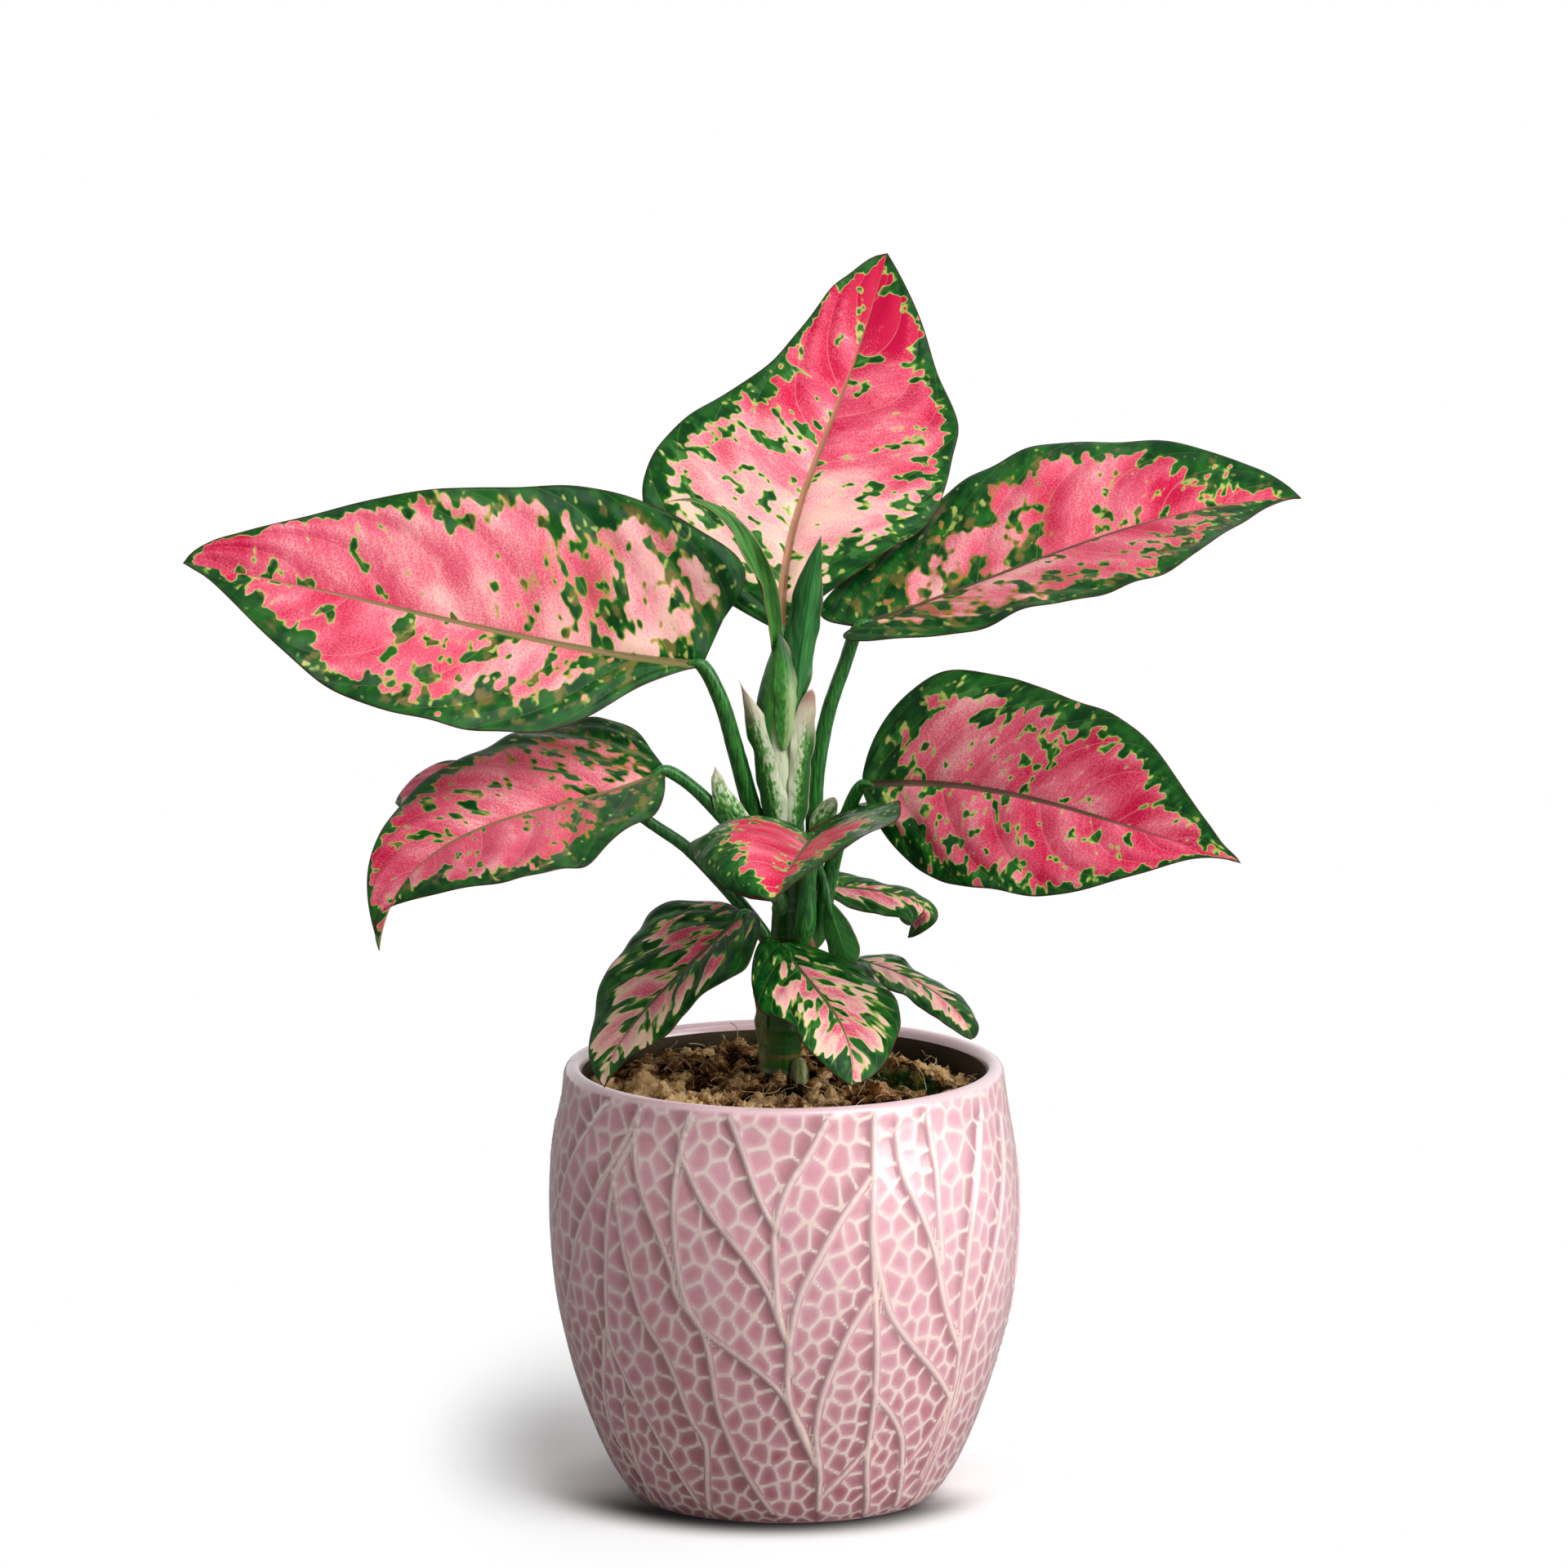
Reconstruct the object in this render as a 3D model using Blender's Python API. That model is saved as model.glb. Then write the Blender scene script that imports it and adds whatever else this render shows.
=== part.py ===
"""A pink variegated aglaonema growing in a pink glazed pot, one object for each piece.

The origin is the centre of the pot's flat base, +Z is up and -Y is the front.
"""

import math
from collections import namedtuple

import bmesh
import bpy
from mathutils import Vector

MM = 0.001
GAP = 0.3  # mm kept between pieces that touch

# The pot, in mm. The wall is measured square to the axis.
POT_OUTLINE = (  # radius, height
    (44.5, 0), (48, 3.5), (51.5, 9), (56, 18.5), (60, 29), (63.2, 39), (65.7, 49), (67.8, 59),
    (69.2, 70), (69.9, 81), (70, 90), (69.6, 99), (68.6, 108), (67, 117), (66, 124),
)
RIM_OUTLINE = ((65.6, 127.4), (64.7, 129.2), (63, 130), (61.4, 129.6), (60.4, 128), (60, 125.5))
WALL = 6
FLOOR = 7
INSIDE_CORNER = 2  # how far in the floor meets the wall
TURNS = 48

# The soil, in mm
SOIL_EDGE = 117.5
SOIL_MOUND = 5.5
SOIL_LUMP = 4.8
SOIL_RINGS = (1, 0.85, 0.68, 0.5, 0.32, 0.15, 0)  # shares of the top's radius

# The cane and what grows straight from it: points along the middle, with a radius at each.
CANE = (
    ((-1.5, 0, 96), 5.0), ((-1.5, 0, 112), 5.7), ((-1, 0, 128), 5.8), ((0, 0, 148), 5.7),
    ((3, 0, 168), 5.6), ((3.4, 0, 184), 5.2), ((1.6, 0, 200), 4.5),
)
CORE = (
    ((1.5, 0, 200.4), 4.3), ((0, 0, 215), 4.3), ((-1.5, 0, 230), 3.8), ((-2.2, -0.5, 243), 3),
    ((-2.4, -1, 253), 2.2),
)
SHOOT = (((6.5, -7, 104), 2.4), ((6.2, -7.4, 118), 2.7), ((5.6, -8.2, 127), 2.2), ((5.2, -8.6, 130), 1.2))
SCAR_TURN = -50  # degrees round the cane
SCAR = ((164, 1.2), (166.5, 1.7), (169, 1.1))  # height, radius

STEM_SIDES = 10
STEM_STEPS = 3  # rings from one point of a stem to the next
BLADE_GRID = (10, 3)  # faces along a blade and across half of it
BIG_BLADE_GRID = (14, 4)
BIG_BLADE = 60  # mm across
CROWDING = 1.3  # above 1, a blade's rows lie closer at the joint
LOBE_AT = 0.03  # where along a blade its lobes reach back furthest
SWELL_AT = 0.87  # where a blade swells near the tip
SWELL_SPREAD = 0.1
SWELL_END = 0.125  # how far from the tip the swelling starts to close

Half = namedtuple("Half", "width widest full point lobe fold curl swell", defaults=(0,))
Half.__doc__ = """One side of a blade, seen from above with the tip pointing up.

width: mm from the midrib to the margin where it is widest
widest: how far along the blade that is, from 0 to 1
full, point: how blunt the base and the tip are; a small number is blunt
lobe: mm that the base reaches back past the joint
fold: degrees that the side rises off the flat
curl: mm that the margin bends back down
swell: extra width near the tip, as a share of width
"""
Stalk = namedtuple("Stalk", "turn foot sizes bends", defaults=((),))
Stalk.__doc__ = """A leaf stalk from the cane to the joint.

turn: degrees round the cane where it starts, counted from +X
foot: mm up where it starts
sizes: its radius in mm at the cane and at the joint
bends: points in mm that it passes through
"""
Leaf = namedtuple("Leaf", "midrib face left right stalk thick", defaults=(None, 0.8))
Leaf.__doc__ = """A blade in mm, and its stalk.

midrib: four points that it passes through, evenly along it from the joint to the tip
face: the direction that the upper side looks in
"""

LEAVES = {
    "crown": Leaf(
        ((-1, 8, 259), (4, 30, 291), (16, 61, 318), (31, 90, 359)), (0, -0.9, 0.4),
        Half(47, 0.3, 1.1, 2.4, 0, 8, 3, 0.2), Half(40, 0.5, 1.1, 0.95, 0, 8, 2),
        Stalk(80, 190, (2.6, 1.9), ((3, 7.6, 212), (0, 7.2, 236), (-1, 7.2, 250))), 0.9,
    ),
    "upper_left": Leaf(
        ((-24, -6, 252), (-71, -16, 261), (-123, -26, 275), (-177, -34, 288)), (0.1, -0.85, 0.5),
        Half(38, 0.48, 1.5, 1.1, 2, 20, 2), Half(48, 0.28, 0.28, 1.05, 15, 18, 3),
        Stalk(172, 192, (2.7, 2.1), ((-9.5, 0.6, 207), (-14, -1, 224), (-18.5, -3, 240))), 0.9,
    ),
    "upper_right": Leaf(
        ((22, 5, 262), (64, 16, 275), (107, 28, 288), (154, 38, 294)), (-0.1, -0.34, 0.94),
        Half(45, 0.47, 1.1, 1.1, 7, 14, 1), Half(38, 0.45, 0.7, 1, 9, 12, 3),
        Stalk(38, 186, (2.4, 1.9), ((9, 4.4, 204), (9.8, 4.2, 218), (13, 4.4, 235), (18, 5, 250))), 0.9,
    ),
    "lower_right": Leaf(
        ((23, -8, 216), (59, -34, 220), (94, -58, 216), (134, -74, 206)), (0.1, -0.9, 0.42),
        Half(36, 0.31, 0.5, 1.8, 0, 8, 3), Half(35, 0.4, 0.8, 1.5, 0, 12, 3),
        Stalk(12, 170, (2.3, 1.9), ((13, 1, 184), (15.5, -1, 195), (18.5, -4, 206))), 0.9,
    ),
    "lower_left": Leaf(
        ((-35, -12, 222), (-65, -30, 215), (-100, -50, 206), (-119, -66, 178)), (-0.2, -0.45, 0.85),
        Half(34, 0.42, 1.3, 1.7, 0, 8, 2), Half(38, 0.24, 0.33, 1.3, 7, 8, 2),
        Stalk(-128, 182, (2.2, 1.8), ((-8.5, -6, 194), (-14, -6, 201), (-20, -6.4, 208), (-27, -8.5, 215.5))),
        0.9,
    ),
    "rear_left": Leaf(
        ((-46, 8, 206), (-70, 18, 208), (-95, 28, 209), (-116, 34, 202)), (-0.2, -0.3, 0.9),
        Half(16, 0.5, 0.8, 0.6, 2, 8, 1), Half(16, 0.5, 0.8, 0.6, 2, 8, 1),
        Stalk(150, 166, (2, 1.6), ((-13.5, 5, 178), (-27.5, 6, 193), (-38, 7, 200.5))),
    ),
    "front": Leaf(
        ((8, -13, 202), (7, -40, 205), (3, -67, 205), (-3, -91, 198)), (-0.2, -0.1, 0.97),
        Half(31, 0.35, 0.4, 0.8, 2, 22, 3), Half(44, 0.35, 0.5, 1, 2, 40, 28),
        Stalk(-68, 174, (3, 2.2), ((6.6, -8.4, 186), (7.4, -10, 195))),
    ),
    "skirt_left": Leaf(
        ((-12, -10, 178), (-28, -24, 165), (-45, -37, 149), (-53, -48, 133)), (-0.5, -0.55, 0.65),
        Half(18, 0.3, 0.7, 1.2, 2, 8, 2), Half(24, 0.3, 0.42, 1.25, 4, 6, 2),
        Stalk(-135, 160, (1.8, 1.5), ((-6, -7, 171),)),
    ),
    "skirt_front": Leaf(
        ((0, -10, 168), (8, -22, 159), (17, -36, 149), (20, -48, 133.5)), (0.2, -0.5, 0.84),
        Half(20, 0.5, 0.8, 0.75, 2, 8, 2), Half(18.5, 0.48, 0.6, 0.7, 5, 8, 2),
        Stalk(-98, 150, (1.6, 1.3), ((-0.8, -8.6, 160),)),
    ),
    "skirt_right": Leaf(
        ((21.5, 4, 160.5), (34, -3, 158), (48, -12, 151.5), (55.5, -20, 141.5)), (0.15, -0.15, 0.98),
        Half(12, 0.42, 0.6, 0.7, 2, 8, 2), Half(12, 0.45, 0.9, 0.7, 0, 8, 2),
        Stalk(15, 147, (1.6, 1.3), ((12.5, 2.4, 156),)),
    ),
    "rear_right": Leaf(
        ((15, 10, 182), (28, 15, 179), (40, 18, 175), (37, 20, 164)), (0.1, -0.5, 0.86),
        Half(9, 0.6, 0.6, 0.8, 0, 8, 2), Half(10, 0.6, 0.6, 0.8, 0, 8, 2),
        Stalk(42, 165, (1.7, 1.4), ((10.5, 7.4, 175),)),
    ),
    "hanging": Leaf(
        ((13, -5, 181), (15, -5.2, 174), (17.4, -5.6, 167), (19, -6.2, 160.5)), (0.3, 0.95, 0.1),
        Half(5, 0.7, 0.8, 0.6, 0, 8, 0), Half(5, 0.7, 0.8, 0.6, 0, 8, 0),
        Stalk(-30, 193, (1.5, 1.2), ((11, -4, 188),)),
    ),
}
# Young growth and the sheaths that wrap the cane, which have no stalk.
WRAPS = {
    "spear_leaf": Leaf(
        ((4.2, -5.8, 238), (5.4, -5.8, 257), (8, -5.6, 275), (11, -5.4, 291)), (-0.1, 1, 0),
        Half(6, 0.4, 0.8, 1.2, 0, 40, 0), Half(7, 0.4, 0.8, 1.2, 0, 40, 0), thick=1.2,
    ),
    "young_leaf": Leaf(
        ((-2.6, -1.5, 253.4), (-7, -5, 277), (-19, -9, 298), (-38, -14, 301)), (0.5, -0.7, 0.5),
        Half(5, 0.4, 0.8, 1.2, 0, 50, 0), Half(5, 0.4, 0.8, 1.2, 0, 50, 0), thick=0.9,
    ),
    "sheath_left": Leaf(
        ((-3, -5.6, 203), (-4.2, -5, 218), (-6.5, -4.6, 231), (-12, -5, 246)), (-0.35, -0.94, 0),
        Half(5, 0.3, 0.25, 0.7, 0, -20, 0), Half(5, 0.3, 0.25, 0.7, 0, -20, 0),
    ),
    "sheath_right": Leaf(
        ((6, -5.4, 203), (5.2, -5, 216), (5.5, -4.8, 229), (8, -4.6, 244)), (0.3, -0.95, 0),
        Half(3.6, 0.3, 0.25, 0.7, 0, -20, 0), Half(3.6, 0.3, 0.25, 0.7, 0, -20, 0),
    ),
    "small_sheath_left": Leaf(
        ((-11, -8.4, 204), (-14.5, -8.7, 208.5), (-18, -9.2, 213), (-21.5, -9.8, 218)), (0.4, -0.8, -0.4),
        Half(2.4, 0.3, 0.3, 0.6, 0, -15, 0), Half(2.4, 0.3, 0.3, 0.6, 0, -15, 0),
    ),
    "small_sheath_right": Leaf(
        ((9.8, 0.6, 199), (11, 0.2, 203), (13, -0.5, 207), (15, -1, 211)), (0, -1, -0.1),
        Half(2.6, 0.3, 0.3, 0.6, 0, -15, 0), Half(2.6, 0.3, 0.3, 0.6, 0, -15, 0),
    ),
}

# Colour, roughness
GLAZE = (0.62, 0.36, 0.41), 0.18
EARTH = (0.07, 0.045, 0.03), 0.95
BARK = (0.10, 0.20, 0.06), 0.5
STEM = (0.06, 0.16, 0.04), 0.4
BLADE = (0.80, 0.20, 0.28), 0.35
PALE = (0.45, 0.55, 0.36), 0.6
DRY = (0.25, 0.14, 0.07), 0.9


def clear_scene():
    for item in list(bpy.data.objects):
        bpy.data.objects.remove(item)


def finish(item, look):
    """Give the object a material of its own with this colour and roughness."""
    material = bpy.data.materials.new(item.name)
    material.use_nodes = True
    shader = material.node_tree.nodes["Principled BSDF"]
    shader.inputs["Base Color"].default_value = (*look[0], 1)
    shader.inputs["Roughness"].default_value = look[1]
    shader.inputs["Metallic"].default_value = 0
    item.data.materials.append(material)
    return item


def add_mesh(name, shape, look):
    """An object from a bmesh, welded and facing out."""
    bmesh.ops.remove_doubles(shape, verts=shape.verts, dist=1e-7)
    bmesh.ops.recalc_face_normals(shape, faces=shape.faces)
    mesh = bpy.data.meshes.new(name)
    shape.to_mesh(mesh)
    shape.free()
    item = bpy.data.objects.new(name, mesh)
    bpy.context.scene.collection.objects.link(item)
    return finish(item, look)


def lathe(name, outline, look):
    """A solid turned about Z from (radius, height) points in mm, closed on the axis."""
    shape = bmesh.new()
    points = [shape.verts.new((r * MM, 0, z * MM)) for r, z in outline]
    edges = [shape.edges.new(pair) for pair in zip(points, points[1:])]
    bmesh.ops.spin(
        shape, geom=points + edges, cent=(0, 0, 0), axis=(0, 0, 1),
        angle=math.tau, steps=TURNS, use_merge=True,
    )
    return add_mesh(name, shape, look)


def wall_inside():
    """(radius, height) points up the inside of the pot, from the floor to the rim."""
    return [(radius - WALL, height) for radius, height in POT_OUTLINE if height > FLOOR + 1]


def make_pot():
    inside = [(0, FLOOR), (wall_inside()[0][0] - INSIDE_CORNER, FLOOR)] + wall_inside()
    outline = [(0, 0)] + list(POT_OUTLINE) + list(RIM_OUTLINE) + inside[::-1]
    return lathe("pot", outline, GLAZE)


def soil_height(radius, turn, edge):
    """Height of the soil in mm: a low mound, with lumps that fade out at the wall."""
    share = radius / edge
    lumps = math.sin(5 * turn + radius / 5) * math.cos(3 * turn - radius / 7) * share * (1 - share)
    return SOIL_EDGE + SOIL_MOUND * (1 - share**2) + SOIL_LUMP * lumps


def make_soil():
    """The soil up to its lumpy top, with a socket for each thing planted in it."""
    walls = [(r - GAP, z + GAP) for r, z in wall_inside() if z < SOIL_EDGE - INSIDE_CORNER]
    edge = POT_OUTLINE[-2][0] - WALL - GAP
    outline = [(0, FLOOR + GAP), (walls[0][0] - INSIDE_CORNER, FLOOR + GAP)] + walls
    outline += [(edge * share, SOIL_EDGE) for share in SOIL_RINGS]
    soil = lathe("soil", outline, EARTH)
    for point in soil.data.vertices:
        if point.co.z > (SOIL_EDGE - GAP) * MM:
            turn = math.atan2(point.co.y, point.co.x)
            point.co.z = soil_height(point.co.xy.length / MM, turn, edge) * MM
    for name, line in (("cane", CANE), ("shoot", SHOOT)):
        cutter = tube(name + "_socket", [(place, r + GAP) for place, r in line], EARTH, GAP)
        cutter.hide_render = True
        cutter.display_type = "WIRE"
        hole = soil.modifiers.new(name, "BOOLEAN")
        hole.operation = "DIFFERENCE"
        hole.solver = "EXACT"
        hole.object = cutter
    return soil


def tube(name, line, look, extra=0.0):
    """A round stem along the points, with flat ends, made longer at its foot by extra mm."""
    shape = bmesh.new()
    places = smooth([place for place, _ in line])
    sizes = smooth([(radius, 0, 0) for _, radius in line])
    places[0] = places[0] - (places[1] - places[0]).normalized() * extra
    rings = []
    across = Vector((0, 1, 0))
    for index, (place, size) in enumerate(zip(places, sizes)):
        ahead = places[min(index + 1, len(places) - 1)] - places[max(index - 1, 0)]
        ahead.normalize()
        across = (across - ahead * across.dot(ahead)).normalized()
        side = ahead.cross(across)
        turns = [math.tau * k / STEM_SIDES for k in range(STEM_SIDES)]
        rings.append([
            shape.verts.new((place + size.x * (across * math.cos(t) + side * math.sin(t))) * MM)
            for t in turns
        ])
    for low, high in zip(rings, rings[1:]):
        for k in range(STEM_SIDES):
            shape.faces.new((low[k], low[k - 1], high[k - 1], high[k]))
    shape.faces.new(rings[0])
    shape.faces.new(rings[-1])
    return add_mesh(name, shape, look)


def smooth(points):
    """The points joined by a Catmull-Rom curve, with STEM_STEPS steps between two of them."""
    points = [Vector(point) for point in points]
    ends = [2 * points[0] - points[1]] + points + [2 * points[-1] - points[-2]]
    line = []
    for a, b, c, d in zip(ends, ends[1:], ends[2:], ends[3:]):
        for step in range(STEM_STEPS):
            t = step / STEM_STEPS
            line.append(0.5 * (2 * b + (c - a) * t + (2 * a - 5 * b + 4 * c - d) * t**2
                               + (3 * b - a - 3 * c + d) * t**3))
    return line + [points[-1]]


def on_midrib(points, v):
    """The cubic through four points that lie at 0, 1/3, 2/3 and 1."""
    knots = (0, 1 / 3, 2 / 3, 1)
    total = Vector((0, 0, 0))
    for own, point in zip(knots, points):
        weight = math.prod((v - other) / (own - other) for other in knots if other != own)
        total += weight * Vector(point)
    return total


def outline_share(half, v):
    """Width at v along the blade, as a share of the widest."""
    if v < half.widest:
        return max(0, 1 - (1 - v / half.widest) ** 2) ** half.full
    rest = max(0, 1 - ((v - half.widest) / (1 - half.widest)) ** 2)
    swelling = math.exp(-(((v - SWELL_AT) / SWELL_SPREAD) ** 2)) * min(1, (1 - v) / SWELL_END)
    return rest**half.point + half.swell * swelling


def blade_point(leaf, v, u):
    """The point at v along the midrib and u across, from -1 on the left to 1, and the way up there."""
    place = on_midrib(leaf.midrib, v)
    ahead = (on_midrib(leaf.midrib, v + 0.001) - on_midrib(leaf.midrib, v - 0.001)).normalized()
    up = Vector(leaf.face)
    up = (up - ahead * up.dot(ahead)).normalized()
    half = leaf.left if u < 0 else leaf.right
    share = outline_share(half, v)
    reach = half.width * share * abs(u)
    fold = math.radians(half.fold)
    lift = reach * math.sin(fold) - half.curl * share * u * u
    back = half.lobe * abs(u) ** 1.5 * v / LOBE_AT * math.exp(1 - v / LOBE_AT)
    side = ahead.cross(up) * math.copysign(reach * math.cos(fold), u)
    return place + side + up * lift - ahead * back, up


def make_blade(name, leaf, look):
    """A closed thin slab in the shape of the blade."""
    big = leaf.left.width + leaf.right.width > BIG_BLADE
    along, across = BIG_BLADE_GRID if big else BLADE_GRID
    shape = bmesh.new()
    layers = ([], [])
    for i in range(along + 1):
        v = (i / along) ** CROWDING
        for layer, sign in zip(layers, (0.5, -0.5)):
            row = []
            for j in range(2 * across + 1):
                place, up = blade_point(leaf, v, (j - across) / across)
                row.append(shape.verts.new((place + up * sign * leaf.thick) * MM))
            layer.append(row)
    top, under = layers
    for i in range(along):
        for j in range(2 * across):
            shape.faces.new((top[i][j], top[i][j + 1], top[i + 1][j + 1], top[i + 1][j]))
            shape.faces.new((under[i][j], under[i + 1][j], under[i + 1][j + 1], under[i][j + 1]))
        for j in (0, 2 * across):
            shape.faces.new((top[i][j], top[i + 1][j], under[i + 1][j], under[i][j]))
    return add_mesh(name, shape, look)


def on_cane(turn, height, radius):
    """The middle of something round that rests on the cane, this far round and up it."""
    for (low, thin), (high, thick) in zip(CANE, CANE[1:]):
        if height <= high[2]:
            break
    share = (height - low[2]) / (high[2] - low[2])
    middle = Vector(low).lerp(Vector(high), share)
    away = thin + (thick - thin) * share + radius + GAP
    turn = math.radians(turn)
    return middle + away * Vector((math.cos(turn), math.sin(turn), 0))


def stalk_line(leaf):
    """Points up the stalk with a radius at each, from the cane to its seat under the blade."""
    turn, foot, (low, high), bends = leaf.stalk
    joint, up = blade_point(leaf, 0.02, 0)
    lean = (joint - Vector(bends[-1])).normalized().cross(up).length
    seat = joint - up * (high * lean + leaf.thick / 2 + 2 * GAP)
    places = [on_cane(turn, foot, low), *bends, seat]
    last = len(places) - 1
    return [(place, low + (high - low) * index / last) for index, place in enumerate(places)]


def make_leaves():
    for name, leaf in LEAVES.items():
        make_blade(name + "_blade", leaf, BLADE)
        tube(name + "_stalk", stalk_line(leaf), STEM)
    for name, leaf in WRAPS.items():
        make_blade(name, leaf, PALE if "sheath" in name else STEM)


def main():
    clear_scene()
    make_pot()
    make_soil()
    tube("cane", CANE, BARK)
    tube("core_sheath", CORE, PALE)
    tube("side_shoot", SHOOT, PALE)
    tube("dry_scar", [(on_cane(SCAR_TURN, height, radius), radius) for height, radius in SCAR], DRY)
    make_leaves()


if __name__ == "__main__":
    main()
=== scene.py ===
"""The finish of a potted pink aglaonema: leaves, stalks, sheaths, soil and a glazed pot.

It lays the visible surfaces over the packed model, in the same frame, and adds a sidebar panel
with a button for each group of pieces.
"""

import math
from collections import namedtuple
from functools import partialmethod

import bpy
import bmesh
import numpy as np
from bpy.props import FloatProperty, FloatVectorProperty, IntProperty, PointerProperty
from bpy.types import Operator, Panel, PropertyGroup
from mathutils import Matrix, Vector, kdtree


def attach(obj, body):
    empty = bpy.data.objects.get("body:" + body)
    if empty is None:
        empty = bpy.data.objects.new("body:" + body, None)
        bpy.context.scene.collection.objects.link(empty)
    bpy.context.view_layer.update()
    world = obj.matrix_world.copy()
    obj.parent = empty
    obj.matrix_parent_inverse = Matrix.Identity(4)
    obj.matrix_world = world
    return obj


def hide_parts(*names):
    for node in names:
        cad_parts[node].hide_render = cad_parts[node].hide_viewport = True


bl_info = {
    "name": "Potted pink aglaonema",
    "version": (1, 0, 0),
    "blender": (4, 5, 0),
    "location": "View3D > Sidebar > Aglaonema",
    "description": "Makes the leaves, stalks, soil and glazed pot of a pink aglaonema",
    "category": "Add Mesh",
}

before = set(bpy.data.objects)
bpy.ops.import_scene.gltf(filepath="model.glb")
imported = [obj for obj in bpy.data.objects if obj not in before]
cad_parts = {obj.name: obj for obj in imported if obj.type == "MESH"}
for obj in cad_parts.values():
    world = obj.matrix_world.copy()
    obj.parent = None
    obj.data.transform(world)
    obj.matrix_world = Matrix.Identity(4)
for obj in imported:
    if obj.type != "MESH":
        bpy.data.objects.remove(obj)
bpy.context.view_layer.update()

MM = 0.001
BODY = "root"

# ---------------------------------------------------------------------------
# The plant, in mm. The blades follow the plant more closely than the solids do: the
# front leaf's margin by up to 17 mm, the others' by up to 9 mm and the cane by 1 to 3 mm.

Half = namedtuple(
    "Half", "width widest full point lobe fold curl swell tuck trim", defaults=(0, 0, None)
)
Half.__doc__ = """One side of a blade, seen from above with the tip pointing up.

width: mm from the midrib to the margin where it is widest
widest: how far along the blade that is, from 0 to 1
full, point: how blunt the base and the tip are; a small number is blunt
lobe: mm that the base reaches back past the joint
fold: degrees that the side rises off the flat
curl: mm that the margin bends back down
swell: extra width near the tip, as a share of width
tuck: mm that the margin beside the joint turns down
trim: mm added to the width at the first few of TRIM_AT
"""
TRIM_AT = (0.15, 0.3, 0.45, 0.6, 0.7, 0.8, 0.9, 0.95, 0.985)
Stalk = namedtuple("Stalk", "turn foot sizes bends")
Look = namedtuple(
    "Look",
    "tone fade cover margin rib rib_width halo stretch lean dusk foot slim heart patch",
    defaults=(0.5, 0.4, 0, (5, 5), (0.4, 0.25, 0.2), 3, 0.12, 1.7, 60, 0, 0, (0, 0), 0, 1),
)
Look.__doc__ = """How a blade is coloured.

tone: how deep its pink is, from 0 to 1
fade: how much paler the pink is at the joint than at the tip
cover: how much green there is inside it; 0.1 is a lot more and -0.1 a lot less
margin: width of the green margin in mm, on the left and on the right
rib: colour of the midrib
rib_width: its width at the joint in mm
halo: how much paler the pink is beside the green
stretch: how many times longer than wide the patches are
lean: degrees from the midrib to the way they point
dusk: how brown the pink is near the joint
foot: how much more green there is near the joint
slim: how much of the margin is gone towards the tip, on the left and on the right
heart: how much deeper the pink is beside the midrib
patch: how far the green breaks up into patches
"""
Leaf = namedtuple("Leaf", "midrib face left right stalk look")

TAN = (0.42, 0.17, 0.10)
OLIVE = (0.24, 0.17, 0.07)
UMBER = (0.10, 0.05, 0.04)
MOSS = (0.04, 0.10, 0.03)

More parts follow.
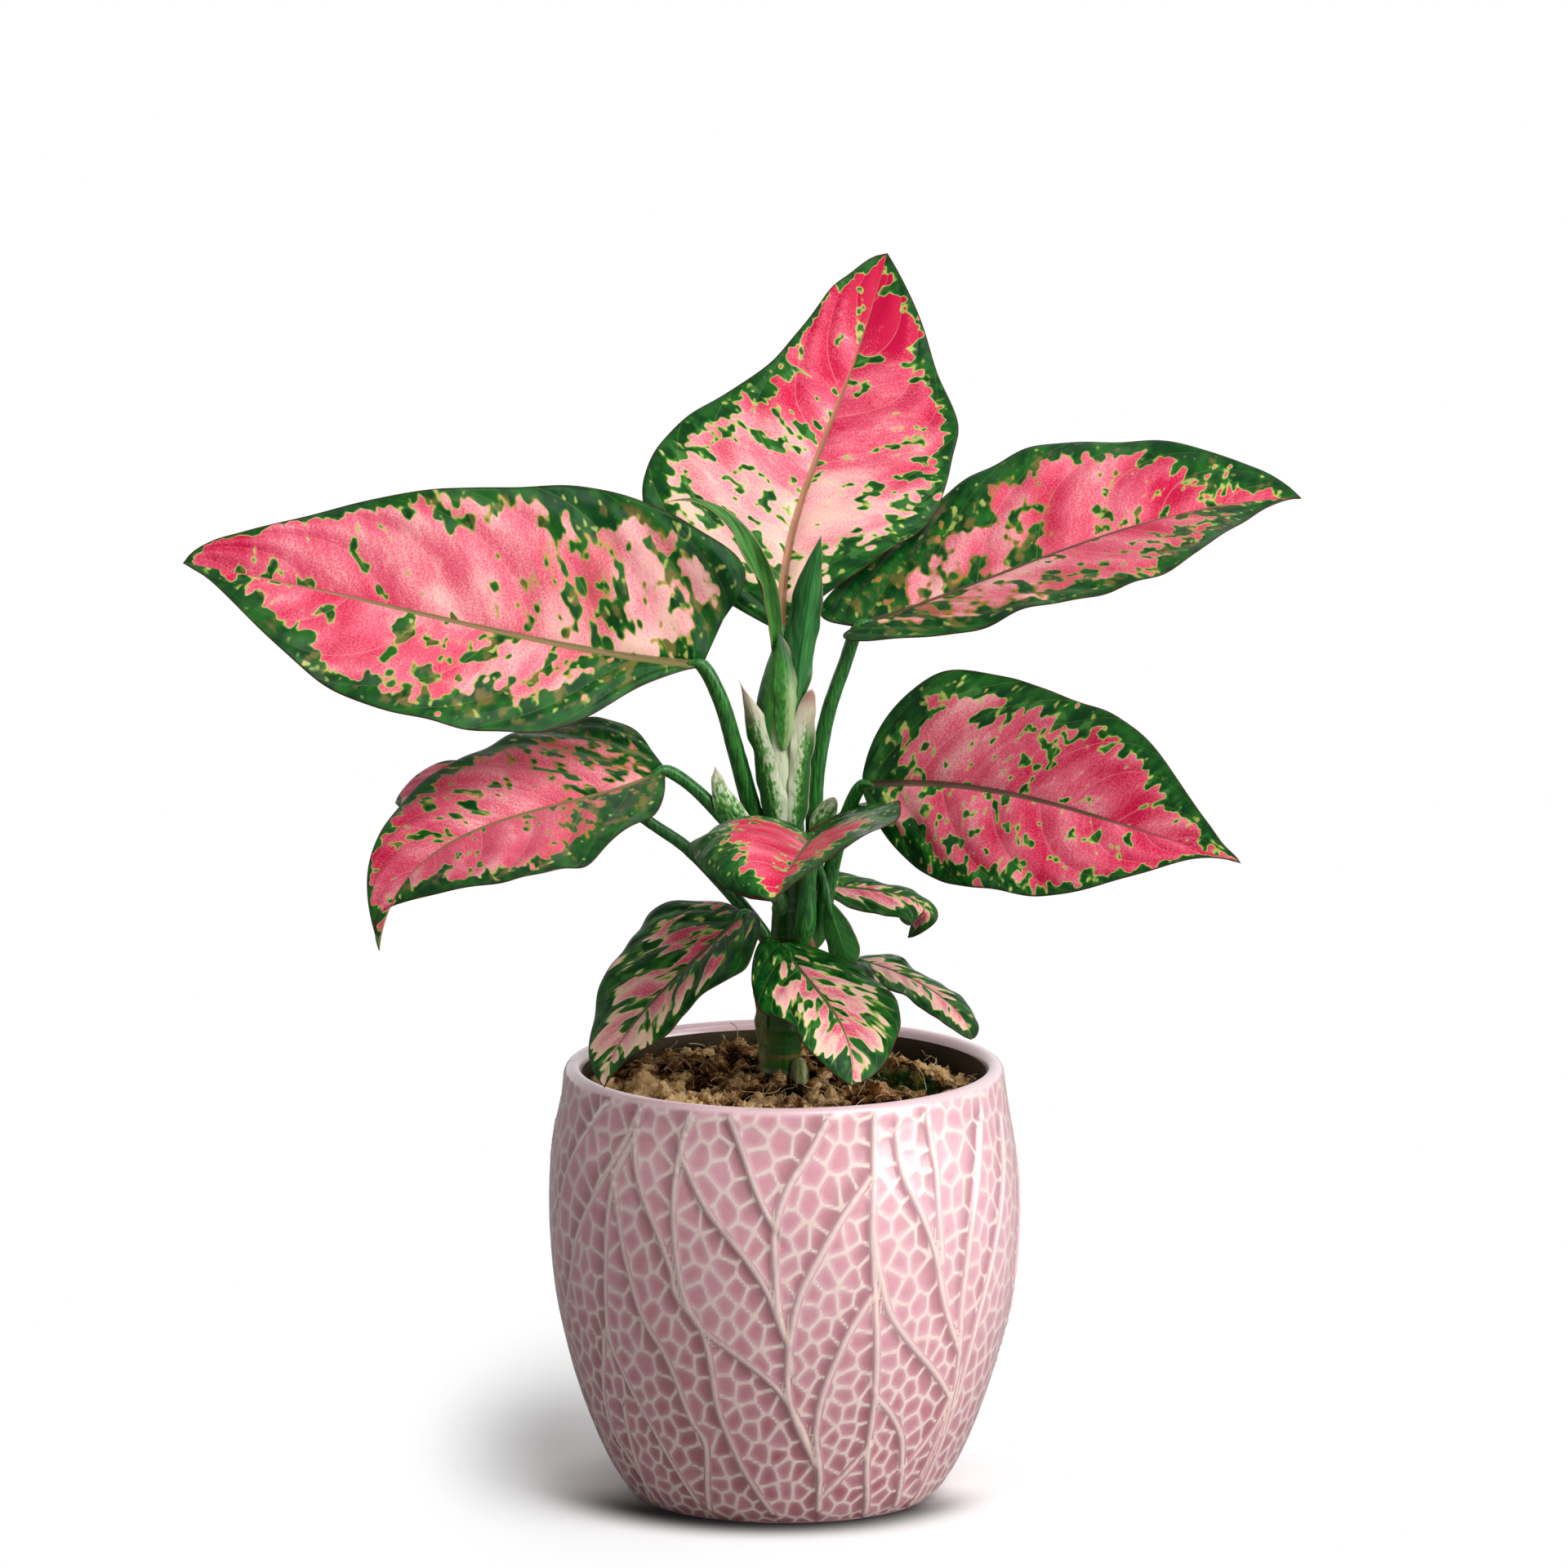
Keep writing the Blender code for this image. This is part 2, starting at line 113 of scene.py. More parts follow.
LEAVES = {
    "crown": Leaf(
        ((-1, 8, 259), (4, 30, 291), (16, 61, 318), (31, 90, 359)), (0, -0.9, 0.4),
        Half(47, 0.3, 1.1, 2.4, 0, 8, 3, trim=(0, 0, 1.5, 3, 5.5, 10.4, 12.2, 8.6, 4.4)),
        Half(40, 0.5, 1.1, 0.95, 0, 8, 2, trim=(0, 0, 0, 0.3, 2.6, -0.5, 0)),
        Stalk(80, 190, (2.6, 1.9), ((3, 7.6, 212), (0, 7.2, 236), (-1, 7.2, 250))),
        Look(0.68, 1.3, 0.08, (5.5, 4.5), TAN, 3.2, foot=0.07, slim=(0.75, 0.4)),
    ),
    "upper_left": Leaf(
        ((-24, -6, 252), (-71, -16, 261), (-123, -26, 275), (-177, -34, 288)), (0.1, -0.85, 0.5),
        Half(38, 0.48, 1.5, 1.1, 2, 20, 2, trim=(-3, 0, 0.5, 3, 4, 4, 0, -1.5, -0.5)),
        Half(48, 0.28, 0.28, 1.05, 15, 18, 3, trim=(0, 1, -1.5, -1, -0.8, -0.8, 1.5, 3, 2.5)),
        Stalk(172, 192, (2.7, 2.1), ((-9.5, 0.6, 207), (-14, -1, 224), (-18.5, -3, 240))),
        Look(0.67, 0.5, 0.085, (7.5, 5), OLIVE, 3, dusk=0.4, foot=0.16, slim=(0.2, 0.9)),
    ),
    "upper_right": Leaf(
        ((22, 5, 262), (64, 16, 275), (107, 28, 288), (154, 38, 294)), (-0.1, -0.34, 0.94),
        Half(45, 0.47, 0.6, 1.1, 12, 14, 1, trim=(-4, -3, -1.5, 1.5, 3.4, 4.2, 4.5, 5, 3)),
        Half(38, 0.45, 0.7, 1, 9, 12, 3, trim=(-3, -4.5, -2.8, 0.6, 2.4, 0.3, -5.5, -5, -2)),
        Stalk(38, 186, (2.4, 1.9), ((9, 4.4, 204), (9.8, 4.2, 218), (13, 4.4, 235), (18, 5, 250))),
        Look(0.75, 0.6, 0.14, (6, 5), UMBER, 2, dusk=1, foot=0.24, slim=(0, 0.2)),
    ),
    "lower_right": Leaf(
        ((23, -8, 216), (59, -34, 220), (94, -58, 216), (134, -74, 206)), (0.1, -0.9, 0.42),
        Half(36, 0.31, 0.5, 1.8, 0, 8, 3, trim=(2.3, 0, -0.5, 5.5, 8.5, 8, 5.5, 3, 1.5)),
        Half(35, 0.4, 0.8, 1.5, 0, 12, 3, trim=(-0.8, -2, -1.8, 0.5, 1.2, -0.5, -2.5)),
        Stalk(12, 170, (2.3, 1.9), ((13, 1, 184), (15.5, -1, 195), (18.5, -4, 206))),
        Look(0.8, 0.3, 0.03, (6.5, 5.5), UMBER, 2.6, foot=0.04, slim=(0.6, 0.75)),
    ),
    "lower_left": Leaf(
        ((-35, -12, 222), (-65, -30, 215), (-100, -50, 206), (-119, -66, 178)), (-0.2, -0.45, 0.85),
        Half(34, 0.42, 1.3, 1.7, 0, 8, 2, trim=(1, -4.4, 2, 6.2, 7.5, 2, -6, -4)),
        Half(38, 0.24, 0.33, 1.3, 7, 8, 2, trim=(0, 0, -2.5, 1, 1, 1.5, 1)),
        Stalk(-128, 182, (2.2, 1.8),
              ((-8.5, -6, 194), (-14, -6, 201), (-20, -6.4, 208), (-27, -8.5, 215.5))),
        Look(0.77, 0.3, 0.07, (5.5, 3.5), OLIVE, 2.2, dusk=0.7, foot=0.3, slim=(0.4, 0.85)),
    ),
    "rear_left": Leaf(
        ((-46, 8, 206), (-70, 18, 208), (-95, 28, 209), (-116, 34, 202)), (-0.2, -0.3, 0.9),
        Half(16, 0.5, 0.8, 0.6, 2, 8, 1), Half(16, 0.5, 0.8, 0.6, 2, 8, 1),
        Stalk(150, 166, (2, 1.6), ((-13.5, 5, 178), (-27.5, 6, 193), (-38, 7, 200.5))),
        Look(0.6, 0.1, -0.25, (0.7, 0.7), OLIVE, 2),
    ),
    "front": Leaf(
        ((8, -13, 202), (7, -40, 205), (3, -67, 205), (-3, -91, 198)), (-0.2, -0.1, 0.97),
        Half(33, 0.6, 0.32, 1.6, 16, 17, 1.5, tuck=-1.5,
             trim=(-1, -0.5, 0, -0.5, -3, -7, -4, -1.5, -0.2)),
        Half(46, 0.6, 0.2, 0.45, 17, 49, 26),
        Stalk(-68, 174, (3, 2.2), ((6.6, -8.4, 186), (7.4, -10, 195))),
        Look(0.9, 0.1, -0.02, (9, 11.5), MOSS, 2.4, 0.05, foot=0.36, patch=0.5),
    ),
    "skirt_left": Leaf(
        ((-12, -10, 178), (-28, -24, 165), (-45, -37, 149), (-53, -48, 133)), (-0.5, -0.55, 0.65),
        Half(18, 0.3, 0.7, 1.2, 2, 8, 2, trim=(0, 0.3, -2.8, 0.8, 1.5, 0, 0)),
        Half(24, 0.3, 0.42, 1.25, 4, 6, 2, trim=(7, 3, 1.6, 1, 0, 0.7, 1)),
        Stalk(-135, 160, (1.8, 1.5), ((-6, -7, 171),)),
        Look(0.38, -1.1, 0.09, (6, 8.5), MOSS, 2, 0.3, 3.6, 30,
             slim=(0.75, 0.75), heart=0.6, patch=1.1),
    ),
    "skirt_front": Leaf(
        ((0, -10, 168), (8, -22, 159), (17, -36, 149), (20, -48, 133.5)), (0.2, -0.5, 0.84),
        Half(20, 0.5, 0.8, 0.75, 2, 8, 2, trim=(0, 0, 0, 1, 1, 0, 0)),
        Half(18.5, 0.48, 0.6, 0.7, 5, 8, 2, trim=(1.5, 2.5, 3, -2, -1.5, 0, 0)),
        Stalk(-98, 150, (1.6, 1.3), ((-0.8, -8.6, 160),)),
        Look(0.42, -0.3, 0.2, (4.5, 5.5), MOSS, 1.6, 0.3, 3.4, 34,
             slim=(0.6, 0.6), heart=0.7, patch=1.2),
    ),
    "skirt_right": Leaf(
        ((21.5, 4, 160.5), (34, -3, 158), (48, -12, 151.5), (55.5, -20, 141.5)),
        (0.15, -0.15, 0.98),
        Half(12, 0.42, 0.6, 0.7, 2, 8, 2, trim=(3, -1.5, -3, -3, -2.5, -1.5, -0.8)),
        Half(12, 0.45, 0.9, 0.7, 0, 8, 2),
        Stalk(15, 147, (1.6, 1.3), ((12.5, 2.4, 156),)),
        Look(0.36, 0, 0.2, (2.5, 2.5), MOSS, 1.4, 0.3, 2.8, 36, heart=0.6),
    ),
    "rear_right": Leaf(
        ((12, 10, 182.5), (26, 15, 179.5), (40, 18, 175), (37, 20, 164)), (0.1, -0.5, 0.86),
        Half(9, 0.6, 0.25, 0.8, 0, 8, 2, trim=(0, -1.5, -3, -4, -3, -2.5, -2)),
        Half(10, 0.6, 0.25, 0.8, 0, 8, 2),
        Stalk(42, 165, (1.7, 1.4), ((10.5, 7.4, 175),)),
        Look(0.6, 0, 0.13, (2.5, 2.5), MOSS, 1.4, 0.35, 2.8, 36, heart=0.4),
    ),
    "hanging": Leaf(
        ((13, -5, 181), (15, -5.2, 174), (17.4, -5.6, 167), (19, -6.2, 160.5)), (0.3, 0.95, 0.1),
        Half(5, 0.7, 0.8, 0.6, 0, 8, 0), Half(5, 0.7, 0.8, 0.6, 0, 8, 0),
        Stalk(-30, 193, (1.5, 1.2), ((11, -4, 188),)),
        Look(0.3, 0, 0.3, (5, 5), MOSS, 0.8),
    ),
}

Wrap = namedtuple("Wrap", "midrib face left right kind")
WRAPS = {
    "spear_leaf": Wrap(
        ((3.4, -4.2, 236), (5.2, -4.6, 256), (8, -5, 275), (11, -5.4, 291)), (-0.1, 1, 0),
        Half(6, 0.4, 0.8, 1.2, 0, 40, 0), Half(7, 0.4, 0.8, 1.2, 0, 40, 0), "young",
    ),
    "young_leaf": Wrap(
        ((-2.6, -1.5, 253.4), (-7, -5, 277), (-19, -9, 298), (-38, -14, 301)), (0.5, -0.7, 0.5),
        *[Half(5.5, 0.36, 0.7, 2.4, 0, 50, 0)] * 2, "young",
    ),
    "sheath_left": Wrap(
        ((-2.6, -5.2, 200), (-4.4, -5.6, 216), (-8.2, -5.2, 233), (-13.3, -5, 247)),
        (-0.35, -0.94, 0),
        Half(5.6, 0.5, 0.3, 1.6, 0, -38, 0), Half(5.8, 0.5, 0.3, 1.9, 0, -35, 0), "sheath",
    ),
    "sheath_right": Wrap(
        ((3.2, -5.2, 200), (4.8, -5.2, 214), (5.9, -5.2, 229), (8.3, -4.6, 244.5)), (0.3, -0.95, 0),
        Half(4.2, 0.7, 0.25, 0.55, 0, -30, 0), Half(4, 0.7, 0.25, 0.55, 0, -30, 0), "sheath",
    ),
    "small_sheath_left": Wrap(
        ((-10.6, -8.4, 202.5), (-15.6, -8.7, 208), (-18.8, -9.2, 214.5), (-20.4, -9.8, 222)),
        (0.4, -0.8, -0.4), *[Half(4.4, 0.28, 0.3, 1.1, 0, -30, 0, swell=0.12)] * 2, "sheath",
    ),
    "small_sheath_right": Wrap(
        ((9.8, 0.6, 199), (11, 0.2, 203), (13, -0.5, 207), (15, -1, 211)), (0, -1, -0.1),
        *[Half(3.8, 0.4, 0.3, 0.6, 0, -30, 0)] * 2, "sheath",
    ),
}

# Pieces of the plant that the solids leave out
LOOSE_WRAPS = {
    "hood": Wrap(
        ((0.3, -6.2, 226), (1, -6.6, 238), (0.6, -6, 250), (-1.6, -3.4, 261)), (0.3, -0.95, 0),
        Half(4.4, 0.5, 0.4, 0.9, 0, -30, 0), Half(4, 0.6, 0.8, 0.8, 0, -30, 0), "hood",
    ),
    "dry_strip": Wrap(
        ((-6.2, -2.4, 129), (-6.8, -2.8, 140), (-7.5, -3, 151), (-8.4, -2.6, 161)),
        (-0.72, -0.7, 0), *[Half(2.6, 0.6, 0.3, 0.6, 0, -20, 0)] * 2, "strip",
    ),
}

CANE = (
    ((-1.5, 0, 96), 5.0), ((-1.5, 0, 112), 5.7), ((-1, 0, 128), 5.8), ((0, 0, 148), 5.9),
    ((2.6, 0, 168), 6.6), ((3, 0, 184), 6.2), ((1.6, 0, 200), 4.5),
)
CORE = (
    ((-0.5, 0, 198), 5.5), ((-1.5, 0, 215), 5.6), ((-2.6, -0.3, 228), 5.6), ((-3, -0.6, 238), 5.3),
    ((-1.8, -1, 249), 4), ((-1.4, -1.3, 258), 1.3),
)
CANE_RINGS = (  # where each old leaf sat: height and size
    (121, 0.5), (127.5, 0.35), (141, 0.25), (155, 0.25), (166, 0.3), (177, 0.25), (187, 0.3),
)
SHOOT = (
    ((5.2, -5.6, 100), 3.9), ((5, -5.6, 118), 3.8), ((4.7, -5, 125.5), 3.3),
    ((4.3, -4.2, 131), 2.3),
)
SCAR = (((8.4, -4.4, 163), 1.4), ((7.6, -5.2, 166.5), 1.9), ((7.4, -5.4, 169.4), 1.2))

# The pot, in mm: radius and height up its outside, over the rim and down inside
POT_OUTLINE = (
    (44.5, 0), (48, 3.5), (51.5, 9), (56, 18.5), (60, 29), (63.2, 39), (65.7, 49), (67.8, 59),
    (69.2, 70), (69.9, 81), (70, 90), (69.6, 99), (68.6, 108), (67, 117), (66, 124),
)
RIM_OUTLINE = ((65.6, 127.4), (64.7, 129.2), (63, 130), (61.4, 129.6), (60.4, 128), (60, 125.5))
WALL = 6
FLOOR = 7
SOIL_RADIUS = POT_OUTLINE[-2][0] - WALL
SOIL_EDGE = 117.5
SOIL_MOUND = 5.5
SOIL_LUMPS = 4.8

# Along a blade, from 0 to 1: where its extra width near the tip lies and ends, and where its
# base reaches back furthest
SWELL_AT, SWELL_SPREAD, SWELL_END = 0.87, 0.1, 0.125
LOBE_AT = 0.03
BIG_BLADE = 50  # mm wide
BIG_GRID, SMALL_GRID, WRAP_GRID = (150, 81), (90, 45), (70, 37)  # rows along, columns across
VEIN_SHARE = 0.14  # from one side vein to the next, as a share of a blade's length
FULL_LENGTH = 150  # mm, a blade this long has its full quilting and ripple

TINY = 1e-9
SAME_PLACE = 2e-6  # m, points closer than this are one


# ---------------------------------------------------------------------------
# Nodes


class Wire:
    """One output socket. A sum on it adds a Math node to its tree."""

    def __init__(self, graph, socket):
        self.graph = graph
        self.socket = socket

    def math(self, operation, *others):
        return self.graph.add("ShaderNodeMath", {"operation": operation}, (self, *others))

    def back(self, operation, other):
        return self.graph.add("ShaderNodeMath", {"operation": operation}, (other, self))

    __add__ = __radd__ = partialmethod(math, "ADD")
    __sub__ = partialmethod(math, "SUBTRACT")
    __mul__ = __rmul__ = partialmethod(math, "MULTIPLY")
    __truediv__ = partialmethod(math, "DIVIDE")
    __pow__ = partialmethod(math, "POWER")
    __rsub__ = partialmethod(back, "SUBTRACT")
    __abs__ = partialmethod(math, "ABSOLUTE")

    def __neg__(self):
        return self * -1


class Graph:
    """Adds nodes to one tree."""

    def __init__(self, tree):
        self.tree = tree

    def node(self, kind, settings=None, values=()):
        """A node of this type. Its settings are set first, then its sockets."""
        node = self.tree.nodes.new(kind)
        for key, value in (settings or {}).items():
            if key == "stops":
                self.set_stops(node.color_ramp, value)
            else:
                setattr(node, key, value)
        pairs = values.items() if isinstance(values, dict) else enumerate(values)
        for key, value in pairs:
            if value is not None:
                self.feed(node.inputs[key], value)
        return node

    def add(self, kind, settings=None, values=(), output=0):
        return Wire(self, self.node(kind, settings, values).outputs[output])

    def feed(self, socket, value):
        if isinstance(value, Wire):
            self.tree.links.new(value.socket, socket)
        elif socket.type == "RGBA" and len(value) == 3:
            socket.default_value = (*value, 1)
        else:
            socket.default_value = value

    @staticmethod
    def set_stops(ramp, stops):
        for place, colour in stops[2:]:
            ramp.elements.new(place)
        for element, (place, colour) in zip(ramp.elements, stops):
            element.position = place
            element.color = (*colour, 1)

    def step(self, value, low, high):
        """0 below low and 1 above high, smoothly."""
        values = {"Value": value, "From Min": low, "From Max": high}
        return self.add("ShaderNodeMapRange", {"interpolation_type": "SMOOTHSTEP"}, values)

    def fall(self, value, low, high):
        """1 below low and 0 above high, smoothly."""
        return 1 - self.step(value, low, high)

    def mix(self, factor, first, second):
        """first at factor 0 and second at 1, both colours."""
        return self.add("ShaderNodeMix", {"data_type": "RGBA"}, {0: factor, 6: first, 7: second}, 2)

    def coats(self, base, *layers):
        """The base colour with layers over it, each as how much of it and its colour."""
        for amount, over in layers:
            base = self.mix(amount, base, over)
        return base

    def ramp(self, value, *stops):
        return self.add("ShaderNodeValToRGB", {"stops": stops}, (value,))

    def attribute(self, name):
        return self.add("ShaderNodeAttribute", {"attribute_name": name}, (), 1)

    def number(self, name):
        return self.add("ShaderNodeAttribute", {"attribute_name": name}, (), 2)

    def split(self, vector):
        node = self.node("ShaderNodeSeparateXYZ", None, (vector,))
        return [Wire(self, socket) for socket in node.outputs]

    def join(self, x, y, z):
        return self.add("ShaderNodeCombineXYZ", None, (x, y, z))

    def scaled(self, vector, amount):
        return self.add("ShaderNodeVectorMath", {"operation": "SCALE"}, {0: vector, 3: amount})

    def noise(self, vector, scale=1, detail=2, roughness=0.5):
        values = {"Vector": vector, "Scale": scale, "Detail": detail, "Roughness": roughness}
        return self.add("ShaderNodeTexNoise", None, values)

    def bump(self, height, strength, distance):
        values = {"Height": height, "Strength": strength, "Distance": distance}
        return self.add("ShaderNodeBump", None, values)

    def distance(self, place, x, y, z=0):
        """From each place to this one."""
        return self.add("ShaderNodeVectorMath", {"operation": "DISTANCE"}, (place, (x, y, z)), 1)

    def object_place(self):
        """The place on the piece, in mm."""
        return self.scaled(self.add("ShaderNodeTexCoord", None, (), 3), 1 / MM)

    def on_blade(self):
        """Where each place lies on a flattened blade, in mm, and how far along it and across it."""
        x, y, _ = self.split(self.attribute("flat"))
        return x, y, *self.split(self.attribute("shape"))


class Paint(Graph):
    """The graph of a new material."""

    def __init__(self, name, **values):
        self.material = bpy.data.materials.new(name)
        self.material.use_nodes = True
        super().__init__(self.material.node_tree)
        self.dress(**values)

    def dress(self, **values):
        """Feeds the shader's own sockets, and returns the material."""
        shader = self.tree.nodes["Principled BSDF"]
        for key, value in values.items():
            self.feed(shader.inputs[key.replace("_", " ").title().replace("Ior", "IOR")], value)
        return self.material


# ---------------------------------------------------------------------------
# Settings


def colour(name, value, about):
    return FloatVectorProperty(
        name=name, description=about, default=value, subtype="COLOR", min=0, max=1
    )


def length(name, value, about):
    return number(name, value * MM, about, unit="LENGTH", precision=4)


def number(name, value, about, **more):
    return FloatProperty(name=name, description=about, default=value, **more)


def whole(name, value, about):
    return IntProperty(name=name, description=about, default=value, min=0)


class LeafSettings(PropertyGroup):
    thickness: length("Thickness", 0.5, "How thick a blade is beside its midrib")
    quilting: length("Quilting", 1.0, "How far a blade swells between its side veins")
    ripple: length("Ripple", 1.6, "How far a blade's margin waves up and down")
    groove: length("Groove", 0.7, "How deep the midrib lies in the upper side")
    cream: colour("Cream", (0.94, 0.62, 0.47), "The palest patches, on the small leaves")
    pale: colour("Pale pink", (0.94, 0.45, 0.44), "The pink beside the joint")
    rose: colour("Rose", (0.81, 0.13, 0.20), "The pink of most of a blade")
    crimson: colour("Crimson", (0.58, 0.006, 0.055), "The deepest pink, near the tip")
    lime: colour("Lime", (0.48, 0.56, 0.13), "The rim round each green patch")
    leaf_green: colour("Leaf green", (0.022, 0.15, 0.016), "The lighter green")
    bottle: colour("Bottle green", (0.002, 0.044, 0.007), "The deep green of the margins")
    edge: colour("Edge", (0.06, 0.02, 0.012), "The thin brown line along a margin")


class StemSettings(PropertyGroup):
    green: colour("Green", (0.04, 0.24, 0.03), "The stalks")
    shade: colour("Dark green", (0.006, 0.06, 0.01), "The stalks' shaded grooves and feet")
    sheath: colour("Sheath", (0.76, 0.82, 0.60), "The papery sheaths")


class PotSettings(PropertyGroup):
    rib: length("Rib height", 0.45, "How far the leaf outlines stand out of the wall")
    net: length("Net height", 0.13, "How far the fine net stands out of the wall")
    cell: length("Cell size", 4.9, "The size of one cell of the net")
    line: length("Line width", 0.88, "The width of the net's lines")
    glaze: colour("Glaze", (0.76, 0.325, 0.375), "The glaze where it pools in a cell")
    ridge: colour("Ridge", (0.95, 0.76, 0.66), "The glaze where it runs thin over a line")
    # lip is also laid over the right side of the wall as a painted highlight
    lip: colour("Lip", (0.84, 0.58, 0.62), "The plain glazed lip")
    inside: colour("Inside", (0.035, 0.026, 0.016), "The bare wall inside")


class SoilSettings(PropertyGroup):
    lump: length("Lump height", 6.5, "How high the soil's lumps are")
    crumbs: whole("Crumbs", 3900, "How many crumbs lie on the soil")
    fibres: whole("Fibres", 190, "How many fine roots lie on it")
    # the darkest soil colour, partly damp soil and partly painted shade in the hollows
    damp_and_shade: colour("Damp soil", (0.006, 0.003, 0.002), "The soil in the hollows")
    peat: colour("Peat", (0.24, 0.095, 0.028), "The middle brown")
    straw: colour("Straw", (1.0, 0.68, 0.33), "The dry pale crumbs")
    moss: colour("Moss", (0.015, 0.075, 0.012), "The green patch at the right")


class StageSettings(PropertyGroup):
    key: number("Key light", 27, "Power of the light at the upper right", unit="POWER")
    fill: number("Fill light", 0.37, "Strength of the light from all round")
    distance: number("Distance", 6, "From the camera to the plant", unit="LENGTH")
    lens: number("Lens", 464.1, "The camera's focal length", unit="CAMERA")


class PlantSettings(PropertyGroup):
    leaf: PointerProperty(type=LeafSettings, name="Leaves")
    stem: PointerProperty(type=StemSettings, name="Stems")
    pot: PointerProperty(type=PotSettings, name="Pot")
    soil: PointerProperty(type=SoilSettings, name="Soil")
    stage: PointerProperty(type=StageSettings, name="Stage")


# ---------------------------------------------------------------------------
# Meshes


def new_object(name, data):
    item = bpy.data.objects.new(name, data)
    bpy.context.scene.collection.objects.link(item)
    return item


def with_materials(mesh, *materials):
    for material in materials:
        mesh.materials.append(material)
    return mesh


def store(mesh, values):
    """Stores one number or vector for each point under each name."""
    for key, data in values.items():
        kind, field = ("FLOAT_VECTOR", "vector") if data.ndim == 2 else ("FLOAT", "value")
        layer = mesh.attributes.new(key, kind, "POINT")
        layer.data.foreach_set(field, np.ascontiguousarray(data, np.float32).ravel())


def mesh_from(name, points, faces, values, slots=0):
    """A mesh from points in mm, welded and facing out. slots says which material each face has."""
    mesh = bpy.data.meshes.new(name)
    mesh.from_pydata((np.asarray(points) * MM).tolist(), [], np.asarray(faces).tolist())
    store(mesh, values)
    mesh.polygons.foreach_set("material_index", np.zeros(len(faces), np.int32) + slots)
    shape = bmesh.new()
    shape.from_mesh(mesh)
    bmesh.ops.remove_doubles(shape, verts=shape.verts, dist=SAME_PLACE)
    bmesh.ops.recalc_face_normals(shape, faces=shape.faces)
    shape.to_mesh(mesh)
    shape.free()
    mesh.shade_smooth()
    return mesh


def grid_faces(rows, columns, start=0, wrap=False):
    """The quads of a grid of points laid row by row. wrap joins the last column to the first."""
    index = np.arange(rows * columns).reshape(rows, columns) + start
    if wrap:
        index = np.concatenate([index, index[:, :1]], axis=1)
    corners = (index[:-1, :-1], index[:-1, 1:], index[1:, 1:], index[1:, :-1])
    return np.stack(corners, axis=-1).reshape(-1, 4)


def settle(item, nodes):
    """The piece stands for these nodes of the model and rides on its body."""
    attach(item, BODY)
    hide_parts(*nodes)


def unit(vectors):
    size = np.linalg.norm(vectors, axis=-1, keepdims=True)
    return vectors / np.maximum(size, TINY)


def smooth_step(x, low, high):
    t = np.clip((x - low) / (high - low), 0, 1)
    return t * t * (3 - 2 * t)


def around(radius, turn, height):
    """Places at this radius, turn in radians and height."""
    return np.stack([radius * np.cos(turn), radius * np.sin(turn), height + 0 * turn], -1)


def full_turn(columns):
    return np.arange(columns) / columns * math.tau


def segment_gaps(points, start, step):
    """From each point to each segment: the gap, and the way there from the segment's start."""
    away = points[:, None] - start
    size = np.maximum((step**2).sum(-1), TINY)
    t = np.clip((away * step).sum(-1) / size, 0, 1)
    return np.sqrt(((away - t[..., None] * step) ** 2).sum(-1)), away


def smooth_line(points, steps):
    """The points joined by a Catmull-Rom curve, with this many steps between two of them."""
    points = np.array(points, float)
    ends = np.vstack([2 * points[0] - points[1], points, 2 * points[-1] - points[-2]])
    t = np.linspace(0, 1, steps, endpoint=False)[:, None]
    line = []
    for a, b, c, d in zip(ends, ends[1:], ends[2:], ends[3:]):
        line.append(0.5 * (2 * b + (c - a) * t + (2 * a - 5 * b + 4 * c - d) * t**2
                           + (3 * b - a - 3 * c + d) * t**3))
    return np.vstack([*line, points[-1:]])


# ---------------------------------------------------------------------------
# Blades


def on_midrib(points, v):
    """The cubic through four points that lie at 0, 1/3, 2/3 and 1."""
    knots = (0, 1 / 3, 2 / 3, 1)
    total = 0
    for own, point in zip(knots, points):
        weight = math.prod((v - other) / (own - other) for other in knots if other != own)
        total = total + weight[..., None] * np.array(point, float)
    return total


def outline_share(half, v):
    """Width at v along the blade, as a share of the widest."""
    rise = np.clip(1 - (1 - v / half.widest) ** 2, 0, None) ** half.full
    rest = np.clip(1 - ((v - half.widest) / (1 - half.widest)) ** 2, 0, None)
    swelling = np.exp(-(((v - SWELL_AT) / SWELL_SPREAD) ** 2)) * np.minimum(1, (1 - v) / SWELL_END)
    return np.where(v < half.widest, rise, rest**half.point + half.swell * swelling)


def trim_at(trim, v):
    """mm added to the width at v, smoothly through the values at TRIM_AT."""
    if trim is None:
        return 0 * v
    line = smooth_line([(0, 0), *zip(TRIM_AT, trim), (1, 0)], 8)
    return np.interp(v, line[:, 0], line[:, 1])


